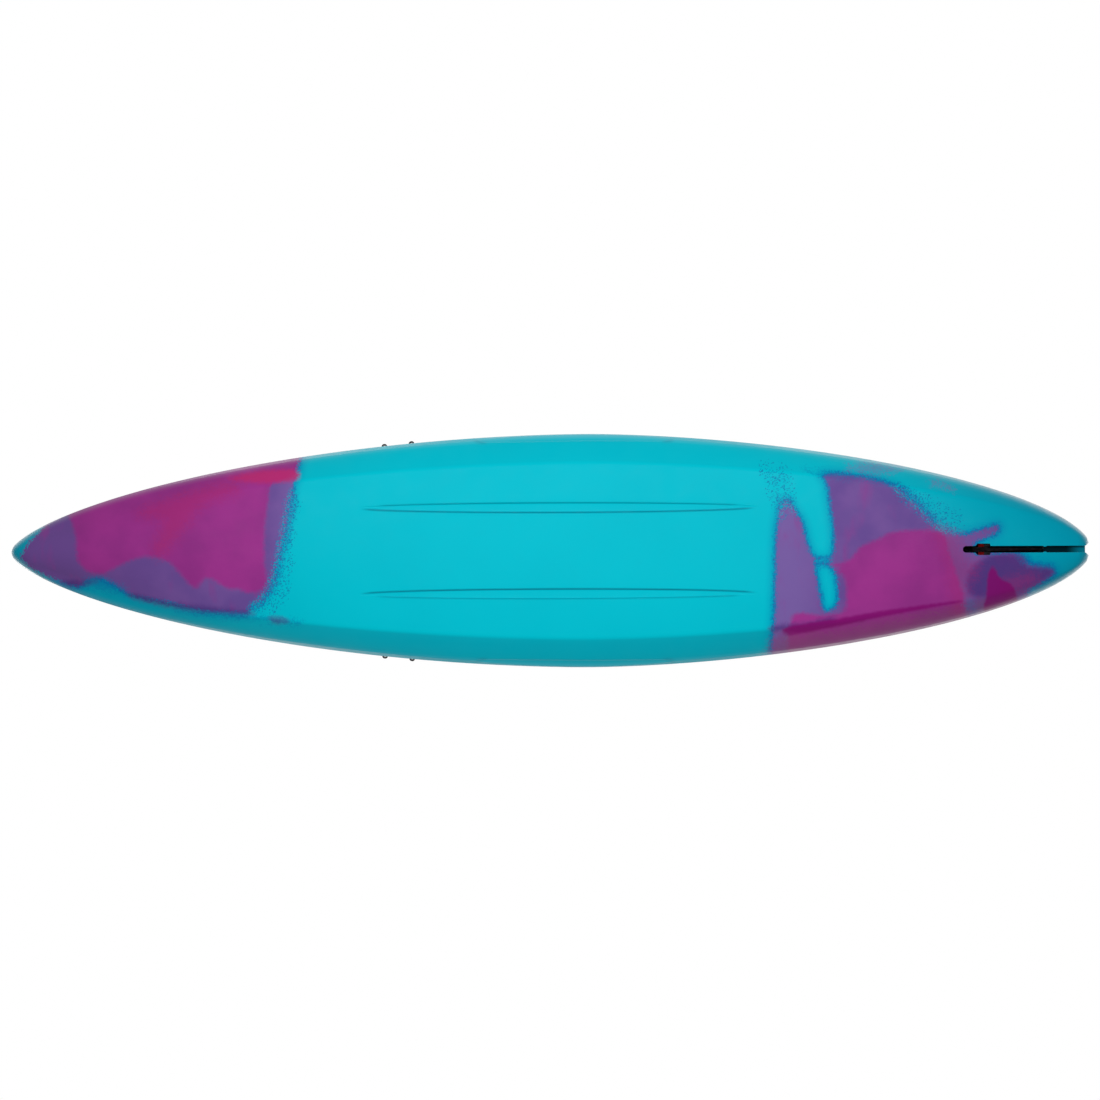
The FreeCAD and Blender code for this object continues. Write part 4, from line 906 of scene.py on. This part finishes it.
def with_grooves(low, high, grooves):
    """Values from low to high that hold a rounded edge at each end and both sides of each groove.
    Each comes with the height there, as a fraction of the pad, and the depth below the top."""
    values = []
    for a in np.radians([0, 25, 50, 75, 90]):
        inset = PAD_ROUND * (1 - cos(a))
        values += [(low + inset, sin(a), 0.0), (high - inset, sin(a), 0.0)]
    inner = [g for g in grooves if low + 0.012 < g < high - 0.012]
    for offset, fall in ((-2, 0.0), (-1.4, 0.15), (-0.8, 0.9), (0, 1.0), (0.8, 0.9), (1.4, 0.15), (2, 0.0)):
        values += [(g + offset * GROOVE_HALF, 1.0, fall) for g in inner]
    stops = [low + PAD_ROUND] + inner + [high - PAD_ROUND]
    for a, b in zip(stops, stops[1:]):
        values += [(v, 1.0, 0.0) for v in spread(a + 0.005, b - 0.005, max(1, round((b - a) / 0.016)))]
    return sorted(values)


def deck_pad(node, inner=None):
    """A grooved foam sheet in the outline of its CAD piece. inner is its straight edge by the grip."""
    (x0, y0, _), (x1, y1, _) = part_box(node)
    side = 1 if y0 + y1 > 0 else -1
    lane_shift = 0.5 if inner is None else 1.0
    lanes = [GROOVE_LANES * (i + lane_shift) for i in range(-8, 8)]
    along = with_grooves(x0, x1, [x1 - GROOVE_FIRST - GROOVE_STEP * i for i in range(12)])
    half = (y1 - y0) / 2
    across = with_grooves(-half, half, lanes)
    verts = []
    for x, rise_x, fall_x in along:
        corner = PAD_CORNER * (1 - rounded(min(x - x0, x1 - x) / PAD_CORNER))
        for y, rise_y, fall_y in across:
            if inner is None:
                place = y * (pad_edge(x) - corner) / half
            else:
                near, far = inner + 0.15 * corner, pad_edge(x) - corner
                place = side * (near + (far - near) * (y + half) / (2 * half))
            fall = max(fall_x, fall_y) * GROOVE_FALL
            verts.append((x, place, DECK_FLAT + PAD_THICK * min(rise_x, rise_y) - fall))
    faces = grid_faces(len(along), len(across))
    obj = new_object(node + "_sheet", verts, faces, "hull", "deck_pad")
    work = bmesh.new()
    work.from_mesh(obj.data)
    bmesh.ops.holes_fill(work, edges=[e for e in work.edges if e.is_boundary])
    bmesh.ops.recalc_face_normals(work, faces=work.faces)
    work.to_mesh(obj.data)
    work.free()
    obj.data.set_sharp_from_angle(angle=radians(60))
    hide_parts(node)


# ---- turned and braided pieces ----
KNOB_JOINT = next(j for j in frame["joints"] if j["name"] == "knob_slide")


def turned(name, profile, start, way, body, slot, around=48):
    """A solid of revolution. The profile holds (distance along the way, radius)."""
    way = Vector(way).normalized()
    one = way.orthogonal().normalized()
    two = way.cross(one)
    verts = []
    for along, radius in profile:
        for i in range(around):
            a = 2 * pi * i / around
            verts.append(Vector(start) + way * along + (one * cos(a) + two * sin(a)) * radius)
    faces = grid_faces(len(profile), around, closed=True)
    obj = new_object(name, verts, faces, body, slot)
    obj.data.set_sharp_from_angle(angle=radians(45))
    return obj


def handle_grip(end):
    """A ribbed rubber sleeve with a swell in its middle and a collar at each end."""
    node = f"{end}_handle_grip"
    low, high = (Vector(c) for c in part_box(node))
    middle = (low + high) / 2
    half, outer, bore = (high.y - low.y) / 2, (high.z - low.z) / 2, 0.00555
    collar = [(0.0, 0.003), (0.001, 0.001), (0.003, 0.0), (0.007, 0.0), (0.0085, 0.0012)]
    profile = [(-half, bore)] + [(-half + inset, outer - down) for inset, down in collar]
    ribs = 14
    span = half - 0.01
    for i in range(ribs):
        y = -span + 2 * span * (i + 0.5) / ribs
        pitch = span / ribs
        base = outer - 0.0022 + 0.0012 * cos(y / span * pi / 2)
        for offset, lift in ((-0.9, 0.0), (-0.55, 0.0008), (0.0, 0.001), (0.55, 0.0008), (0.9, 0.0)):
            profile.append((y + offset * pitch, base + lift))
    profile += [(-along, radius) for along, radius in reversed(profile[:6])]
    profile.append(profile[0])
    obj = turned(node + "_sleeve", profile, middle, (0, 1, 0), f"{end}_handle", "soft_rubber", 64)
    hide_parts(node)


def knob():
    """The skeg line's pull: a ball with a flared collar and a dimple where the knot sits."""
    (_, y0, _), (x1, y1, z1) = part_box("skeg_line_knob")
    radius = (y1 - y0) / 2
    way = -Vector(KNOB_JOINT["axis"])
    centre = Vector((x1 - radius, 0.0, z1 - radius))
    profile = [(-radius - 0.006, 0.0026), (-radius - 0.006, 0.0044), (-radius - 0.0052, 0.0052)]
    for a in np.radians([0, 30, 60, 90]):
        profile.append((-radius - 0.004 + 0.005 * sin(a), 0.0052 + 0.0008 * (1 - cos(a))))
    neck = asin(0.0062 / radius)
    for a in np.linspace(neck, pi - 0.3, 22):
        ring = 0.0005 * exp(-((a - pi / 2) / 0.07) ** 2)
        profile.append((-(radius + ring) * cos(a), (radius + ring * 0.6) * sin(a)))
    profile += [(radius * 0.9, 0.0026), (radius * 0.74, 0.0018), (radius * 0.72, 0.0)]
    obj = turned("skeg_line_pull", profile, centre, way, "knob", "soft_rubber", 56)
    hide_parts("skeg_line_knob")


LINE_RADIUS = 0.002
LINE_PITCH = 0.014  # length over which the braid's strands go once round
LINE_X = sum(c[0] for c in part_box("skeg_line_drop")) / 2
LINE_TURN = 0.011


def braided(name, path, body, slot="cord", around=24):
    """A round cord whose strands cross both ways, along a path in the plane of the centreline."""
    spacing = 0.0008
    points = [Vector(p) for p in path]
    fine = []
    for a, b in zip(points, points[1:]):
        count = max(1, round((b - a).length / spacing))
        fine += [a.lerp(b, i / count) for i in range(count)]
    fine.append(points[-1])
    verts, travelled = [], 0.0
    for i, p in enumerate(fine):
        ahead, behind = fine[min(i + 1, len(fine) - 1)], fine[max(i - 1, 0)]
        way = (ahead - behind).normalized()
        up = Vector((-way.z, 0, way.x))
        travelled += (p - fine[max(i - 1, 0)]).length
        for j in range(around):
            a = 2 * pi * j / around
            turn = 2 * pi * travelled / LINE_PITCH
            weave = sin(4 * (a + turn)) * sin(4 * (a - turn))
            radius = LINE_RADIUS * (0.95 + 0.05 * weave)
            verts.append(p + (up * cos(a) + Vector((0, 1, 0)) * sin(a)) * radius)
    faces = grid_faces(len(fine), around, closed=True)
    faces += [tuple(range(around))[::-1], tuple(range(len(verts) - around, len(verts)))]
    return new_object(name, verts, faces, body, slot)


def skeg_lines():
    drop_low, drop_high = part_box("skeg_line_drop")
    tail_low, tail_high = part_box("skeg_line_tail")
    way = -Vector(KNOB_JOINT["axis"])
    tail_start = Vector((tail_low[0], 0, tail_low[2] + LINE_RADIUS))
    tail_end = tail_start + way * ((tail_high[0] - tail_low[0]) / way.x)
    # the fixed run: up through the deck, round the fairlead and forward to the cleat
    level = tail_start - way * ((tail_start.x - LINE_X - LINE_TURN) / way.x)
    turn = [Vector((LINE_X + LINE_TURN * (1 - cos(a)), 0, level.z - LINE_TURN * (1 - sin(a))))
            for a in np.radians(range(0, 91, 15))]
    run = [Vector((LINE_X, 0, drop_high[2] + 0.0002))] + turn + [tail_start]
    fixed = braided("skeg_line_braid", run, "hull")
    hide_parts("skeg_line")
    tail = braided("skeg_line_tail_braid", [tail_start + way * 0.0002, tail_end], "hull")
    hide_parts("skeg_line_tail")
    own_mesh(tail)
    drop = braided("skeg_line_drop_braid", [(LINE_X, 0, drop_low[2]), (LINE_X, 0, drop_high[2])], None)
    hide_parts("skeg_line_drop")
    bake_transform(drop)


# ---- put it together ----
def finish_cad_nodes():
    """Gives every CAD piece that still shows its material, and rounds the sharp edges of the nylon pieces."""
    slots = {entry["node"]: entry["material_slot"] for entry in frame["record"]["subparts"]}
    for name, obj in frame["nodes"].items():
        material = GRAPHITE if name == "skeg_blade" else FINISHES.get(slots[name], FINISHES["black_nylon"])
        for slot in obj.material_slots:
            slot.material = material
        if not obj.material_slots:
            obj.data.materials.append(material)
        if slots[name] in ("black_nylon", "red_nylon"):
            bevel = obj.modifiers.new("edges", "BEVEL")
            bevel.width, bevel.segments = 0.0006, 2
            bevel.limit_method, bevel.angle_limit = "ANGLE", radians(50)


paint_zones(hull())
for pad_node in ("deck_pad_front", "deck_pad_rear"):
    deck_pad(pad_node)
for pad_node in ("deck_pad_port", "deck_pad_starboard"):
    box_low, box_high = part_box(pad_node)
    deck_pad(pad_node, min(abs(box_low[1]), abs(box_high[1])))
skeg_lines()
for grip_end in HANDLE_XS:
    handle_grip(grip_end)
knob()
finish_cad_nodes()


# ---- stage, light and camera ----
FLOOR_HALF, FLOOR_Z = 12.0, -0.001  # the floor lies lower than the flat bottom, not in its plane
VIEW_WIDTH = 1.0214  # in board lengths
CAMERA_ROLL, CAMERA_SHIFT = radians(0.186), 0.0026


def stage_floor():
    mesh = bpy.data.meshes.new("floor")
    corners = [(FLOOR_HALF * x, FLOOR_HALF * y, FLOOR_Z) for x, y in ((-1, -1), (1, -1), (1, 1), (-1, 1))]
    mesh.from_pydata(corners, [], [(0, 1, 2, 3)])
    floor = shown("floor", mesh)
    m = Shader("pale_floor")
    m.set(Base_Color=m.mix(m.fade(m.noise(0.6), 0.3, 0.7), (225, 226, 227), (222, 223, 225)))
    m.set(Roughness=0.8)
    # seen from beneath, the floor lets the board show through
    clear = m.node("BsdfTransparent")
    choose = m.node("MixShader")
    sides = m.node("NewGeometry")
    m.link(sides.outputs["Backfacing"], choose.inputs[0])
    m.link(m.surface.outputs[0], choose.inputs[1])
    m.link(clear.outputs[0], choose.inputs[2])
    m.link(choose.outputs[0], m.tree.nodes["Material Output"].inputs["Surface"])
    mesh.materials.append(m.owner)
    floor.visible_shadow = floor.visible_diffuse = False
    floor.visible_glossy = floor.visible_transmission = False


def area_light(name, place, size, power, glossy):
    light = bpy.data.lights.new(name, "AREA")
    light.shape, light.size, light.size_y = "RECTANGLE", size[0], size[1]
    light.energy = power
    obj = shown(name, light)
    obj.location = place
    obj.rotation_euler = Vector(place).to_track_quat("Z", "Y").to_euler()
    obj.visible_glossy = glossy
    obj.visible_camera = False


def world_light(w, stops):
    """A background whose brightness follows the height of the ray, from straight down to straight up."""
    way = w.node("SeparateXYZ", Vector=w.node("TexCoord").outputs["Generated"])
    ramp = w.node("ValToRGB")
    w.link(w.math("MULTIPLY_ADD", way.outputs["Z"], 0.5, 0.5), ramp.inputs[0])
    elements = ramp.color_ramp.elements
    while len(elements) < len(stops):
        elements.new(0.5)
    for element, (place, level) in zip(elements, stops):
        element.position, element.color = place, (level, level, level, 1)
    return w.node("Background", Color=ramp.outputs[0]).outputs[0]


def studio():
    """Soft light from every side. Behind the board it is plain white."""
    area_light("below", (0.0, 0.7, -4.0), (4.5, 1.2), 186, False)
    area_light("above", (0.5, -1.2, 4.2), (5.0, 3.0), 115, True)
    w = Shader("studio", bpy.data.worlds)
    bpy.context.scene.world = w.owner
    w.set(Color=(255, 255, 255))
    path = w.node("LightPath")
    light = world_light(w, [(0, 0.03), (0.4, 0.05), (0.5, 0.3), (0.58, 0.85), (0.75, 0.9), (1, 0.6)])
    glossy = world_light(w, [(0, 0.0), (0.5, 0.02), (0.6, 0.8), (0.7, 2.2), (0.82, 1.8), (1, 1.0)])
    for ray, other in (("Is Glossy Ray", glossy), ("Is Camera Ray", w.surface.outputs[0])):
        mix = w.node("MixShader")
        for source, socket in zip((path.outputs[ray], light, other), mix.inputs):
            w.link(source, socket)
        light = mix.outputs[0]
    w.link(light, w.tree.nodes["World Output"].inputs["Surface"])


def camera():
    """Square under the board, looking up, with the bow to the left."""
    data = bpy.data.cameras.new("camera")
    data.type, data.ortho_scale = "ORTHO", VIEW_WIDTH * LENGTH
    obj = shown("camera", data)
    right = Vector((-cos(CAMERA_ROLL), -sin(CAMERA_ROLL), 0))
    up = Vector((-sin(CAMERA_ROLL), cos(CAMERA_ROLL), 0))
    turn = Matrix((right, up, right.cross(up))).transposed()
    obj.matrix_world = Matrix.Translation((0, CAMERA_SHIFT, -5)) @ turn.to_4x4()
    bpy.context.scene.camera = obj


stage_floor()
studio()
camera()
bpy.context.scene.view_settings.view_transform = "Standard"
